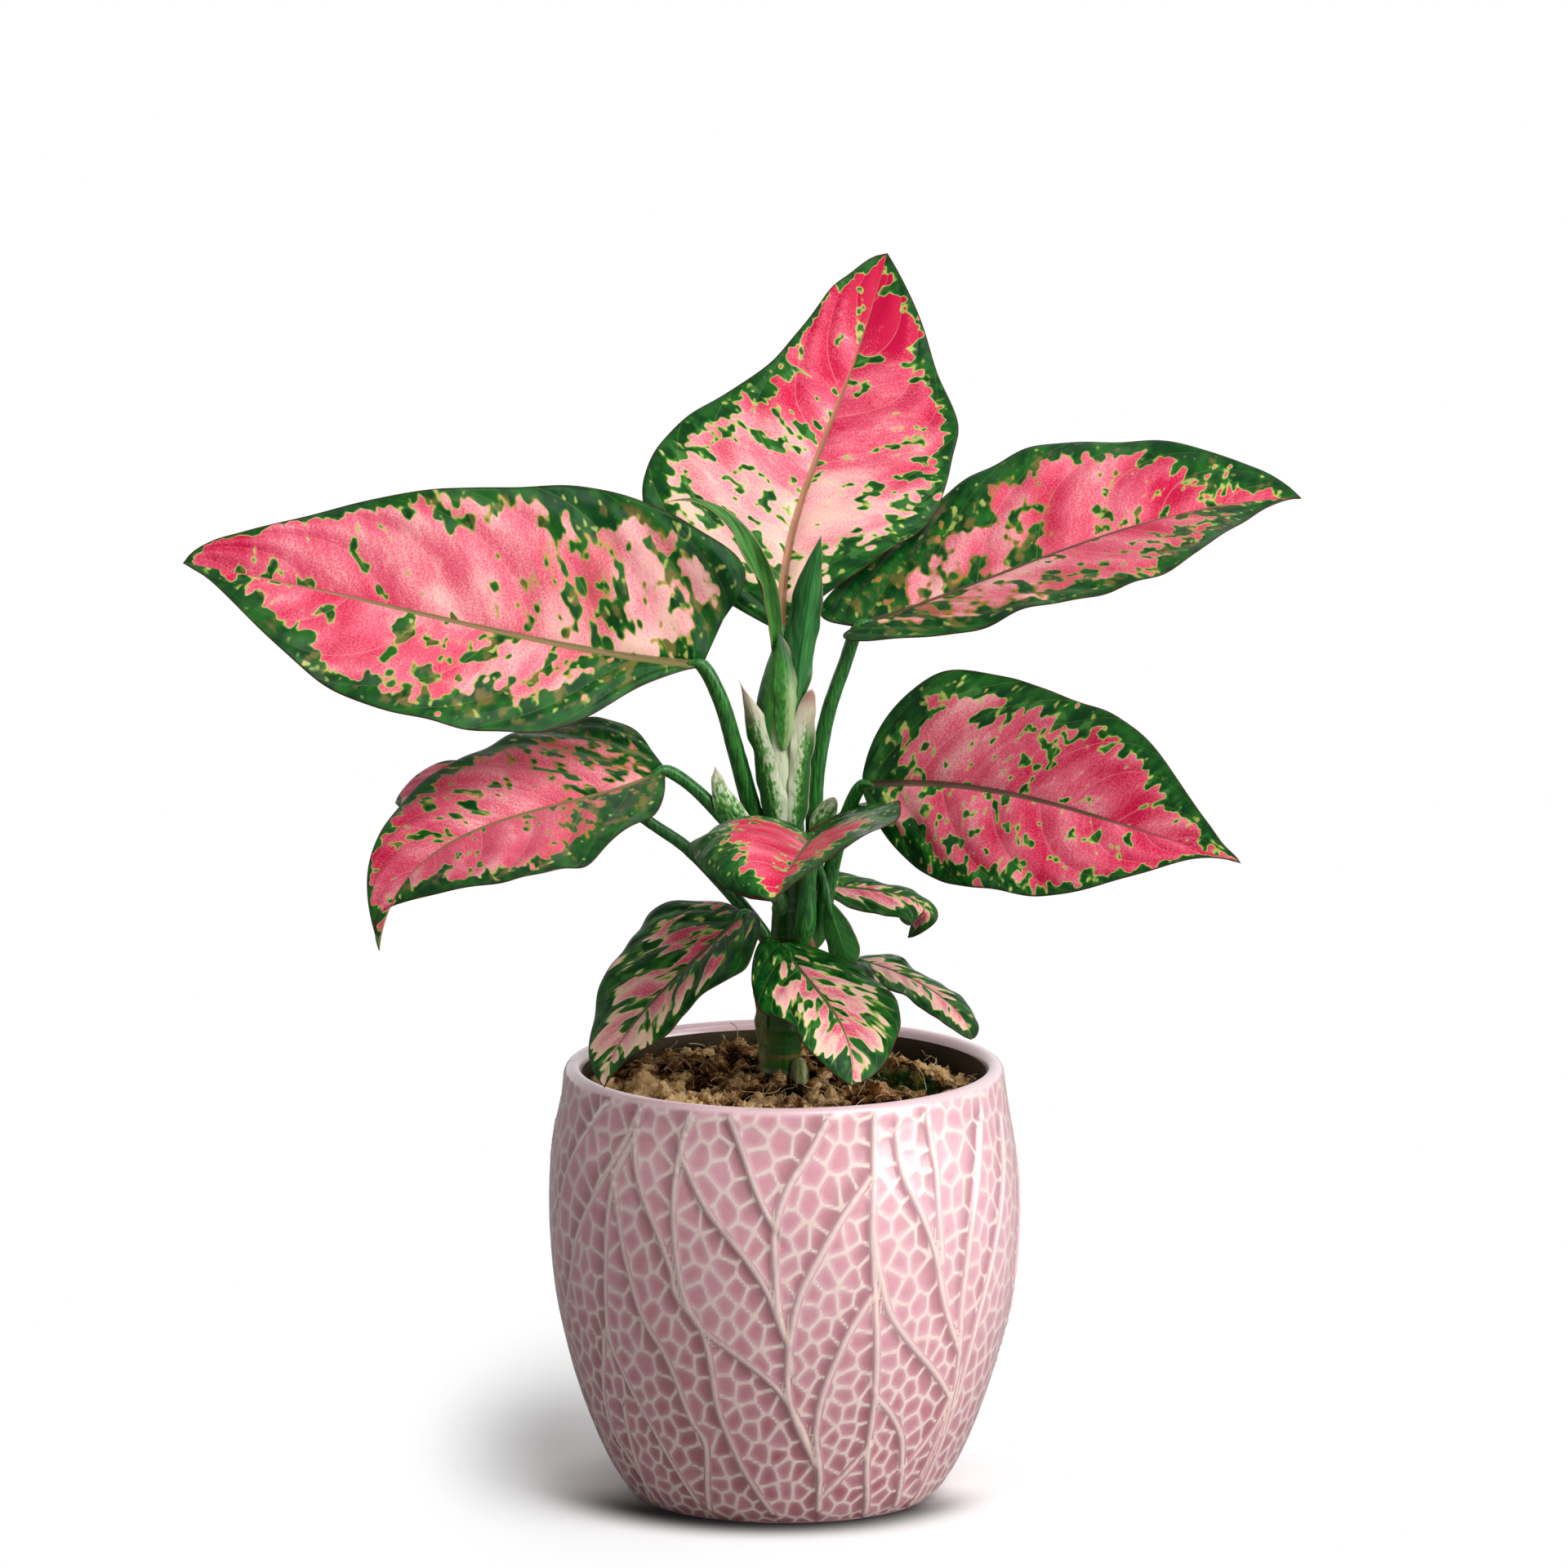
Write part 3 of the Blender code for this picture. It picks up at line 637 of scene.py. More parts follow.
class Blade:
    """The surface of one blade as a grid of points in mm, with where each lies on the leaf."""

    def __init__(self, leaf, rows, columns, rounding):
        self.v = v = (np.linspace(0, 1, rows) ** 1.25)[:, None]
        u = np.linspace(-1, 1, columns)[None, :]
        self.u = u = np.sign(u) * np.abs(u) ** 1.15
        middle = on_midrib(leaf.midrib, v)
        ahead = unit(on_midrib(leaf.midrib, v + 0.001) - on_midrib(leaf.midrib, v - 0.001))
        up = np.array(leaf.face, float)
        up = unit(up - ahead * (ahead @ up)[..., None])

        def either(rule):
            return np.where(u < 0, rule(leaf.left), rule(leaf.right))

        def of_half(field):
            return either(lambda half: getattr(half, field))

        self.share = either(lambda half: outline_share(half, v))
        self.q = np.abs(u) + 0 * v
        trims = either(lambda half: trim_at(half.trim, v))
        reach = (of_half("width") * self.share + trims) * self.q
        fold = np.radians(of_half("fold"))
        crease = np.sqrt(reach**2 + rounding**2) - rounding
        beside = np.exp(-((v / 0.12) ** 2))
        drop = of_half("curl") * self.share + of_half("tuck") * beside
        lift = (crease * np.sin(fold) - drop * self.q**2)[..., None]
        back = of_half("lobe") * self.q**1.5 * np.sqrt(v / LOBE_AT * np.exp(1 - v / LOBE_AT))
        out = (np.sign(u) * reach * np.cos(fold))[..., None]
        self.points = middle + np.cross(ahead, up) * out + up * lift - ahead * back[..., None]
        self.length = np.linalg.norm(np.diff(middle[:, 0], axis=0), axis=-1).sum()
        self.x = np.sign(u) * reach
        self.y = v * self.length - back
        self.up = up + 0 * self.points
        self.normals = self.find_normals()

    def find_normals(self):
        """The upper side's normals, with the plain way up where the grid closes to a point."""
        across = np.gradient(self.points, axis=1)
        along = np.gradient(self.points, axis=0)
        normals = np.cross(across, along)
        size = np.linalg.norm(normals, axis=-1, keepdims=True)
        normals = np.where(size > 1e-4, unit(normals), self.up)
        return unit(normals)

    def edge_distance(self):
        """mm from each point to the margin, on the flattened blade."""
        rim = np.concatenate([
            np.stack([self.x[:, 0], self.y[:, 0]], -1),
            np.stack([self.x[::-1, -1], self.y[::-1, -1]], -1),
        ])
        points = np.stack([self.x, self.y], -1).reshape(-1, 2)
        step = np.diff(rim, axis=0)
        parts = np.array_split(points, 12)
        gaps = [segment_gaps(part, rim[:-1], step)[0].min(1) for part in parts]
        return np.concatenate(gaps).reshape(self.x.shape)

    def veins(self, offset):
        """Which side vein a point lies on, in mm along the midrib."""
        sweep = 0.2 * self.length * (0.75 * self.q + 0.95 * self.q**3)
        return self.y - sweep + np.where(self.u < 0, 0, offset)


def blade_mesh(name, leaf, sizes, seed, grid, rounding=1.2):
    """A blade with its quilting, rippled margin, midrib and thin edge.

    rounding is in mm, of the crease along the midrib.
    """
    blade = Blade(leaf, *grid, rounding)
    random = np.random.default_rng(seed)
    pitch = VEIN_SHARE * blade.length
    on_vein = blade.veins(pitch / 2)
    edge = blade.edge_distance()
    wave = 0
    for share, size in ((0.42, 1), (0.23, 0.55), (0.13, 0.25)):
        phase = math.tau * (blade.y / (blade.length * share) + random.random())
        wave = wave + np.sin(phase + np.sign(blade.u) * random.random() * 3) * size
    swell = (0.5 - 0.5 * np.cos(math.tau * on_vein / pitch)) ** 0.8
    body = np.clip(np.abs(blade.x) / 4, 0, 1) * np.clip(edge / 6, 0, 1)
    relief = sizes.quilting / MM * swell * body * (1 - blade.v) ** 0.4
    relief += sizes.ripple / MM * wave * blade.q**3 * blade.share
    relief *= blade.length / FULL_LENGTH
    shell = blade.points + blade.normals * relief[..., None]

    rib = leaf.look.rib_width * (1 - blade.v) ** 0.7 + 0.01
    near_rib = np.exp(-((blade.x / (0.5 * rib)) ** 2))
    half = sizes.thickness / MM / 2 * (1 - 0.5 * blade.q**6)
    fade = (1 - blade.v) ** 0.6
    upper = half - sizes.groove / MM * near_rib * fade * leaf.look.rib_width / 4
    vein_line = np.exp(-((((on_vein / pitch + 0.5) % 1 - 0.5) * pitch / 0.7) ** 2)) * body
    upper -= 0.18 * vein_line
    lower = half + 0.42 * rib * near_rib * fade + 0.12 * vein_line
    top = shell + blade.normals * upper[..., None]
    under = shell - blade.normals * lower[..., None]

    count = edge.size
    upper_faces = grid_faces(*grid)
    lower_faces = grid_faces(*grid, count)[:, ::-1]
    index = np.arange(count).reshape(grid)
    margins = [np.stack([side[:-1], side[1:]], -1) for side in (index[:, 0], index[:, -1])]
    rim = np.concatenate([np.hstack([side, side[:, ::-1] + count]) for side in margins])
    faces = np.concatenate([upper_faces, rim, lower_faces])
    slots = np.repeat([0, 1], [len(upper_faces) + len(rim), len(lower_faces)])
    none = 0 * edge
    values = {
        "flat": (blade.x, blade.y, none),
        "vein": (on_vein, none, np.sign(blade.u) + none),
        "shape": (blade.v + none, blade.q, edge),
    }
    for key, data in values.items():
        values[key] = np.tile(np.stack(data, -1).reshape(-1, 3), (2, 1))
    points = np.concatenate([top.reshape(-1, 3), under.reshape(-1, 3)])
    mesh = mesh_from(name, points, faces, values, slots)
    mesh["pitch"] = pitch
    return mesh


def blade_colour(graph, look, colours, seed, pitch):
    """The variegation of a blade.

    Returns its colour, how green it is, the mm to the margin, the fine grain and the midrib.
    """
    flat = graph.attribute("flat")
    on_vein, _, side = graph.split(graph.attribute("vein"))
    along, across, edge = graph.split(graph.attribute("shape"))
    shift = side * 31 + seed * 17.3
    x, y, _ = graph.split(flat)
    lean = math.radians(look.lean)
    cross = y * math.sin(lean) - abs(x) * math.cos(lean)
    down = y * math.cos(lean) + abs(x) * math.sin(lean)
    size = min(1, 0.5 + pitch / 42)

    def spread(wide, long):
        return graph.join(cross / (wide * size), down / (long * size), shift)

    def clouds(wide, long, *more):
        return graph.noise(spread(wide, long), 1, *more)

    def either(pair):
        return right * (pair[1] - pair[0]) + pair[0]

    # Green shows where this sum is over 0: all along the margin, then in patches that thin out.
    patches = clouds(3.6, 3.6 * look.stretch, 0.7) - 0.5
    specks = clouds(1.9, 1.9 * look.stretch, 0.4) - 0.5
    groups = clouds(14, 20, 1) - 0.5
    right = side * 0.5 + 0.5
    slim = graph.step(along, 0.35, 0.85) * either(look.slim)
    margin = either(look.margin) * (1 - slim)
    tip = (1 - across) * graph.step(along, 0.55, 0.85) * 2.2
    inside = (edge / (margin + 0.3)).math("MAXIMUM", tip)
    to_vein = abs((on_vein / pitch + 0.5).math("FRACT") - 0.5) * pitch
    green = (patches * 1.65 + specks * 0.5 + groups * 1.5) * look.patch + (look.cover - 0.36)
    green = green + graph.fall(inside, 0, 1.9) * 0.55 + graph.fall(inside, 1, 3.6) * 0.22
    green = green + graph.step(along, 0.93, 0.99) * (1 - slim) * 0.5
    green = green + graph.fall(along, 0.1, 0.5) * look.foot
    green = green + (0.6 - graph.step(to_vein / pitch, 0.02, 0.3)) * 0.13

    # The pink is deepest towards the tip and palest beside the joint.
    cloud = clouds(16, 26) - 0.5
    streaks = graph.noise(graph.join(cross / 1.2, down / 6, shift), 1, 2, 0.6) - 0.5
    grain = graph.noise(flat, 1.5, 2, 0.8) - 0.5
    tone = look.tone + (along - 0.55) * look.fade + cloud * 1.1 + streaks * 0.28 + grain * 1.1
    tone = tone + (0.45 - across) * look.heart
    tone = tone - graph.fall(across, 0, 0.5) * 0.1 * (1 - along)
    tone = tone - graph.fall(-green, 0, 0.4) * look.halo
    # painted highlight: the pink is paler midway between the side veins, where the quilted blade
    # swells towards the light
    tone = tone - graph.step(to_vein / pitch, 0.1, 0.5) * 0.15
    stops = (0, colours.cream), (0.25, colours.pale), (0.6, colours.rose), (1, colours.crimson)
    dusk = graph.fall(along - across * 0.2, 0.1, 0.55) * look.dusk
    pink = graph.coats(
        graph.ramp(tone, *stops),
        (graph.fall(to_vein, 0.05, 0.45) * 0.25, colours.pale),
        (dusk * graph.step(green + cloud, -0.32, -0.02) * 0.85, (0.34, 0.11, 0.03)),
    )

    mottle = graph.step(clouds(5, 9), 0.35, 0.7)
    deep = graph.mix(mottle * 0.7, colours.bottle, colours.leaf_green)
    ghosts = graph.step(clouds(5, 8), 0.53, 0.66) * graph.step(edge, 1.5, 4)
    spots = graph.step(clouds(2.6, 2.2 * look.stretch, 0.5), 0.66, 0.78)
    leafy = graph.coats(
        colours.leaf_green,
        (graph.step(green, 0.02, 0.16), deep),
        (ghosts * 0.5, (0.30, 0.19, 0.06) if look.dusk else (0.09, 0.30, 0.06)),
        (spots * graph.step(edge, 0.7, 2) * 0.8, colours.lime),
    )
    burnt = graph.fall(along, 0.3, 0.9) * min(1, look.dusk * 1.6)
    vein_shine = graph.fall(to_vein, 0.05, 0.4) * graph.step(green, 0, 0.05)
    width = look.rib_width * 0.5 * (1 - along) ** 0.75
    on_rib = graph.fall(abs(x) / (width + 0.05), 0.75, 1.05) * graph.fall(along, 0.6, 0.95)
    rib_grain = graph.step(graph.noise(graph.join(x * 3, y / 6, 0)), 0.35, 0.7)
    blend = graph.coats(
        pink,
        (graph.step(green, -0.09, -0.015), graph.mix(burnt, colours.lime, (0.42, 0.19, 0.03))),
        (graph.step(green, -0.03, 0.04), leafy),
        (vein_shine * 0.25 * 0.6, colours.lime),
        (on_rib * 0.9, graph.mix(rib_grain * 0.35, look.rib, colours.leaf_green)),
    )
    return blend, green, edge, grain, on_rib


def blade_material(name, look, colours, seed, pitch):
    graph = Paint(name, specular_ior_level=0.09)
    blend, green, edge, grain, _ = blade_colour(graph, look, colours, seed, pitch)
    fine = graph.noise(graph.attribute("flat"), 2.2, 3, 0.65)
    return graph.dress(
        base_color=graph.mix(graph.fall(edge, 0.12, 0.5), blend, colours.edge),
        roughness=0.34 - graph.step(green, 0, 0.2) * 0.08 + grain * 0.25,
        normal=graph.bump(fine, 0.25, 0.0002),
    )


def under_material(name, look, colours, seed, pitch):
    """The underside: pale green, with the upper side's pattern showing faintly through."""
    graph = Paint(name, specular_ior_level=0.4)
    blend, green, _, grain, on_rib = blade_colour(graph, look, colours, seed, pitch)
    pale = graph.mix(graph.step(green, -0.1, 0.1), (0.40, 0.27, 0.17), (0.06, 0.20, 0.035))
    blend = graph.coats(pale, (0.3, blend), (on_rib * 0.8, (0.13, 0.26, 0.06)))
    return graph.dress(base_color=blend, roughness=grain * 0.2 + 0.5)


# ---------------------------------------------------------------------------
# Stems, wraps and the cane


def modify(item, tree):
    """Gives the piece its Geometry Nodes tree."""
    modifier = item.modifiers.new(tree.name, "NODES")
    modifier.node_group = tree
    return modifier


def set_inputs(modifier, **values):
    """Sets the tree's inputs on the modifier, each by its socket's identifier."""
    sockets = {socket.name: socket for socket in modifier.node_group.interface.items_tree}
    for key, value in values.items():
        modifier[sockets[key.replace("_", " ").capitalize()].identifier] = value


def make_plain(item):
    """Turns the piece with its modifiers into a plain mesh."""
    bpy.context.view_layer.update()
    ready = item.evaluated_get(bpy.context.evaluated_depsgraph_get())
    mesh = bpy.data.meshes.new_from_object(ready)
    item.modifiers.clear()
    item.data = mesh


def new_tree(name, **sockets):
    """A Geometry Nodes tree with a geometry at each end and these named inputs."""
    tree = bpy.data.node_groups.new(name, "GeometryNodeTree")
    for way in ("INPUT", "OUTPUT"):
        tree.interface.new_socket("Geometry", in_out=way, socket_type="NodeSocketGeometry")
    for label, kind in sockets.items():
        tree.interface.new_socket(label, in_out="INPUT", socket_type="NodeSocket" + kind)
    graph = Graph(tree)
    start = graph.node("NodeGroupInput")
    return graph, [Wire(graph, socket) for socket in start.outputs][:-1]


def shaped(graph, kind, geometry, settings=None, **values):
    """The geometry after a node of this kind."""
    values = {key.replace("_", " ").title(): value for key, value in values.items()}
    return graph.add("GeometryNode" + kind, settings, {"Geometry": geometry, **values})


def end_tree(graph, geometry, material, *others):
    """Smooths the shading, realizes the instances, sets the material and closes the tree.

    others are pairs of a material and where it is set.
    """
    smooth = shaped(graph, "SetShadeSmooth", geometry)
    real = shaped(graph, "RealizeInstances", smooth)
    dressed = shaped(graph, "SetMaterial", real, material=material)
    for other, where in others:
        dressed = shaped(graph, "SetMaterial", dressed, selection=where, material=other)
    graph.node("NodeGroupOutput", None, (dressed,))
    return graph.tree


def named(graph, name):
    """The value of an attribute, in Geometry Nodes."""
    return graph.add("GeometryNodeInputNamedAttribute", {"data_type": "FLOAT"}, {"Name": name})


def stored(graph, geometry, name, value, domain="POINT"):
    settings = {"data_type": "FLOAT", "domain": domain}
    return shaped(graph, "StoreNamedAttribute", geometry, settings, name=name, value=value)


def pushed(graph, geometry, amount):
    """The geometry with each point moved along its normal."""
    normal = graph.add("GeometryNodeInputNormal")
    return shaped(graph, "SetPosition", geometry, offset=graph.scaled(normal, amount))


def ring_curve(graph, steps, radius):
    values = {"Resolution": steps, "Radius": radius}
    return graph.add("GeometryNodeCurvePrimitiveCircle", {"mode": "RADIUS"}, values)


def stem_tree():
    """Sweeps a channelled, uneven round section along a line that carries its own radius."""
    graph, (line, groove, uneven, material) = new_tree(
        "Stem", Groove="Float", Uneven="Float", Material="Material")
    place = graph.add("GeometryNodeInputPosition")
    x, y, _ = graph.split(place)
    pressed = graph.join(x - graph.step(x, 0.5, 1) * groove, y, 0)
    ring = shaped(graph, "SetPosition", ring_curve(graph, 32, 1.0), position=pressed)
    swept = graph.add("GeometryNodeCurveToMesh", None, {
        "Curve": graph.add("GeometryNodeMeshToCurve", None, (line,)), "Profile Curve": ring,
        "Scale": named(graph, "radius"), "Fill Caps": True})
    grain = graph.noise(place, 400, 2) - 0.5
    return end_tree(graph, pushed(graph, swept, grain * uneven), material)


def stem(name, line, material, groove=0.15, uneven=0.3, steps=8):
    """A stem along a line of places and radii in mm, rounded at its ends."""
    path = round_ends(smooth_line([(*place, radius) for place, radius in line], steps))
    places = path[:, :3]
    mesh = bpy.data.meshes.new(name)
    mesh.from_pydata((places * MM).tolist(), [(i, i + 1) for i in range(len(path) - 1)], [])
    along = np.concatenate([[0], np.cumsum(np.linalg.norm(np.diff(places, axis=0), axis=-1))])
    store(mesh, {"radius": path[:, 3] * MM, "along": along / along[-1]})
    item = new_object(name, mesh)
    tree = bpy.data.node_groups.get("Stem") or stem_tree()
    set_inputs(modify(item, tree), groove=groove, uneven=uneven * MM, material=material)
    make_plain(item)
    return item


def round_ends(path):
    """The path with small steps at both ends where the radius closes in."""
    turns = np.radians((80, 60, 35))

    def closing(end, inner):
        out = unit(end[:3] - inner[:3]) * end[3] * 0.7
        return [(*(end[:3] + out * math.sin(t)), end[3] * math.cos(t)) for t in turns]

    return np.vstack([closing(path[0], path[1]), path, closing(path[-1], path[-2])[::-1]])


def on_cane(turn, height, radius):
    """A place that leans on the cane at this height and turn."""
    heights = [place[2] for place, _ in CANE]
    middle = [np.interp(height, heights, [place[axis] for place, _ in CANE]) for axis in (0, 1)]
    away = np.interp(height, heights, [own for _, own in CANE]) + radius * 0.7
    angle = math.radians(turn)
    return middle[0] + away * math.cos(angle), middle[1] + away * math.sin(angle), height


def cane_line():
    """The cane's places and radii, with a low ring where each old leaf sat."""
    path = smooth_line([(*place, radius) for place, radius in CANE], 24)
    for height, size in CANE_RINGS:
        path[:, 3] += size * np.exp(-(((path[:, 2] - height) / 0.8) ** 2))
    return [(place[:3], place[3]) for place in path]


def stalk_line(leaf):
    """A stalk's places and radii, from the cane up into the blade."""
    turn, foot, (low, high), bends = leaf.stalk
    joint, ahead = np.array(leaf.midrib[:2], float)
    down = unit(np.array(leaf.face)) * high
    places = [
        on_cane(turn, foot - low * 2.5, -low * 1.6), on_cane(turn, foot, low), *bends,
        joint - down * 0.55, joint + unit(ahead - joint) * 6 - down * 0.7,
    ]
    radii = [low * 1.1, *np.linspace(low * 1.15, high, len(places) - 2), high * 0.35]
    return list(zip(places, radii))


def stalk_material(name, colours, seed):
    """Green, darker towards the foot and in streaks, with pale flecks."""
    graph = Paint(name, roughness=0.27, specular_ior_level=0.32)
    x, y, z = graph.split(graph.object_place())
    streak = graph.noise(graph.join(x * 1.4, y * 1.4, z / 9 + seed), 1, 3, 0.6)
    fleck = graph.noise(graph.join(x / 0.5, y / 0.5, z / 1.4))
    blend = graph.coats(
        colours.shade,
        (graph.step(streak, 0.3, 0.72), colours.green),
        (graph.fall(graph.number("along"), 0, 0.25) * 0.6, (0.10, 0.22, 0.06)),
        (graph.step(fleck, 0.66, 0.74) * 0.5, (0.16, 0.30, 0.09)),
    )
    return graph.dress(base_color=blend, normal=graph.bump(streak, 0.3, 0.0003))


def cane_material():
    """Glossy green bark, lighter on the left, with a dry pale strip there and a dark foot."""
    graph = Paint("cane", roughness=0.3, specular_ior_level=0.32)
    place = graph.object_place()
    x, y, z = graph.split(place)
    streak = graph.noise(graph.join(x * 0.9, y * 0.9, z / 14), 1, 4, 0.6)
    ring = graph.noise(graph.join(x / 9, y / 9, z * 0.9), 1, 1)
    edge = x + graph.noise(place, 0.16, 3, 0.6) * 4
    strip = graph.fall(edge, -3.6, -2.8) * graph.step(z, 126, 134)
    fibre = graph.noise(graph.join(x, y, z / 6), 0.9, 3)
    blend = graph.coats(
        (0.006, 0.04, 0.003),
        (graph.step(streak, 0.3, 0.7), (0.02, 0.10, 0.008)),
        # painted light and shade: the cane is painted lighter on its left and stays darker on its
        # right
        (graph.fall(x + streak * 3, -4.5, 2) * 0.75, (0.10, 0.23, 0.025)),
        (graph.fall(z, 126, 131) * 0.85, (0.008, 0.035, 0.03)),
        (graph.fall(abs(z + streak * 2 - 134), 0.3, 0.9) * 0.6, (0.20, 0.10, 0.025)),
        (graph.step(ring, 0.58, 0.66) * 0.12, (0.16, 0.26, 0.09)),
        (strip * 0.8, graph.mix(fibre, (0.30, 0.30, 0.12), (0.12, 0.17, 0.05))),
    )
    return graph.dress(base_color=blend, normal=graph.bump(streak, 0.3, 0.0004))


def plain_material(name, first, second, size, roughness):
    """Two colours in soft streaks along the height."""
    graph = Paint(name, roughness=roughness, specular_ior_level=0.4)
    x, y, z = graph.split(graph.object_place())
    streak = graph.noise(graph.join(x / size, y / size, z / size / 4), 1, 4, 0.6)
    speck = graph.noise(graph.join(x, y, z), 2.2, 2, 0.6)
    blend = graph.coats(
        first, (graph.step(streak, 0.3, 0.7), second), (graph.step(speck, 0.6, 0.72) * 0.4, second)
    )
    return graph.dress(base_color=blend, normal=graph.bump(streak + speck * 0.4, 0.3, 0.0004))


def sheath_material(name, colours, seed, inner, dry=1):
    """Papery: green with flecks on its outer side, pale on its inner side, dry at its end."""
    graph = Paint(name, roughness=0.45, specular_ior_level=0.4)
    x, y, along, across, edge = graph.on_blade()
    side = graph.split(graph.attribute("vein"))[2]
    fibre = graph.noise(graph.join(x / 0.5, y / 8, seed), 1, 3, 0.6)
    fleck = graph.noise(graph.join(x / 1.1, y / 2.4, seed + 5), 1, 3, 0.65)
    leafy = fleck * 2 - side * across * inner * 0.75 - along * 0.5 - 0.5
    blend = graph.coats(
        colours.sheath,
        (graph.step(fibre, 0.3, 0.75) * 0.5, (0.42, 0.52, 0.26)),
        (graph.step(leafy, -0.1, 0.3), (0.10, 0.33, 0.04)),
        (graph.step(leafy, 0.15, 0.6), (0.02, 0.12, 0.015)),
        (graph.step(along + fibre * 0.2, 0.72, 0.98) * 0.85 * dry, (0.60, 0.50, 0.38)),
        (graph.step(along + fibre * 0.1, 0.9, 1.02) * dry, (0.40, 0.20, 0.17)),
        (graph.fall(edge, 0.1, 0.6) * 0.7, (0.62, 0.58, 0.44)),
    )
    return graph.dress(base_color=blend, normal=graph.bump(fibre, 0.35, 0.0002))


def core_material(colours):
    """The rolled stalk in the middle: dark green on its left, pale and flecked low on its right."""
    graph = Paint("core", roughness=0.34, specular_ior_level=0.3)
    x, y, z = graph.split(graph.object_place())
    fleck = graph.noise(graph.join(x / 1.2, y / 1.2, z / 3.5), 1, 3, 0.65)
    line = graph.noise(graph.join(x / 0.5, y / 0.5, z / 20))
    right = (x + 3.6) / 4 + fleck * 0.9 - 0.45
    low = graph.fall(z + fleck * 12, 224, 254)
    blend = graph.coats(
        (0.01, 0.09, 0.01),
        (graph.step(right, -0.9, 0.1), (0.05, 0.25, 0.03)),
        (graph.step(right + low * 0.9, 0.35, 1.1) * 0.85, colours.sheath),
        (graph.step(line, 0.5, 0.7) * 0.25, (0.30, 0.45, 0.16)),
    )
    return graph.dress(base_color=blend, normal=graph.bump(line, 0.3, 0.0003))


def hood_material():
    """The open edge of the rolled stalk: green below, dark at its top, brown along its rim."""
    graph = Paint("hood", roughness=0.42, specular_ior_level=0.25)
    x, y, along, _, edge = graph.on_blade()
    fleck = graph.noise(graph.join(x / 0.9, y / 2.2, 3), 1, 3, 0.65)
    middle = graph.step(x + fleck * 3, 0, 2.5) * graph.fall(along, 0.45, 0.75)
    rim = graph.fall(edge + fleck * 1.6, 1, 2.4) * graph.step(x, 0.5, 1.5)
    blend = graph.coats(
        (0.03, 0.17, 0.02),
        (graph.step(fleck, 0.4, 0.65), (0.06, 0.27, 0.035)),
        (middle * 0.75, (0.42, 0.55, 0.27)),
        (graph.step(along + x * 0.06, 0.6, 0.95) * 0.85, (0.02, 0.075, 0.03)),
        (rim * graph.step(along, 0.3, 0.45) * 0.8, (0.27, 0.19, 0.14)),
    )
    return graph.dress(base_color=blend, normal=graph.bump(fleck, 0.3, 0.0002))


def young_material(name, first, second, seed):
    """A new leaf: bright at the middle and darker outside, with fine side veins."""
    graph = Paint(name, roughness=0.34, specular_ior_level=0.3)
    x, y, _, across, edge = graph.on_blade()
    fibre = graph.noise(graph.join(x / 0.7, y / 10 + x * 0.1, seed), 1, 3, 0.6)
    cloud = graph.noise(graph.join(x / 4, y / 12, seed))
    blend = graph.coats(
        first,
        (graph.step(cloud + across * 0.3 - 0.15, 0.3, 0.75), second),
        (graph.step(fibre, 0.4, 0.8) * 0.35, (0.20, 0.36, 0.09)),
        (graph.fall(edge, 0.1, 0.4), (0.24, 0.20, 0.08)),
    )
    return graph.dress(base_color=blend, normal=graph.bump(fibre, 0.3, 0.0002))


# ---------------------------------------------------------------------------
# The pot

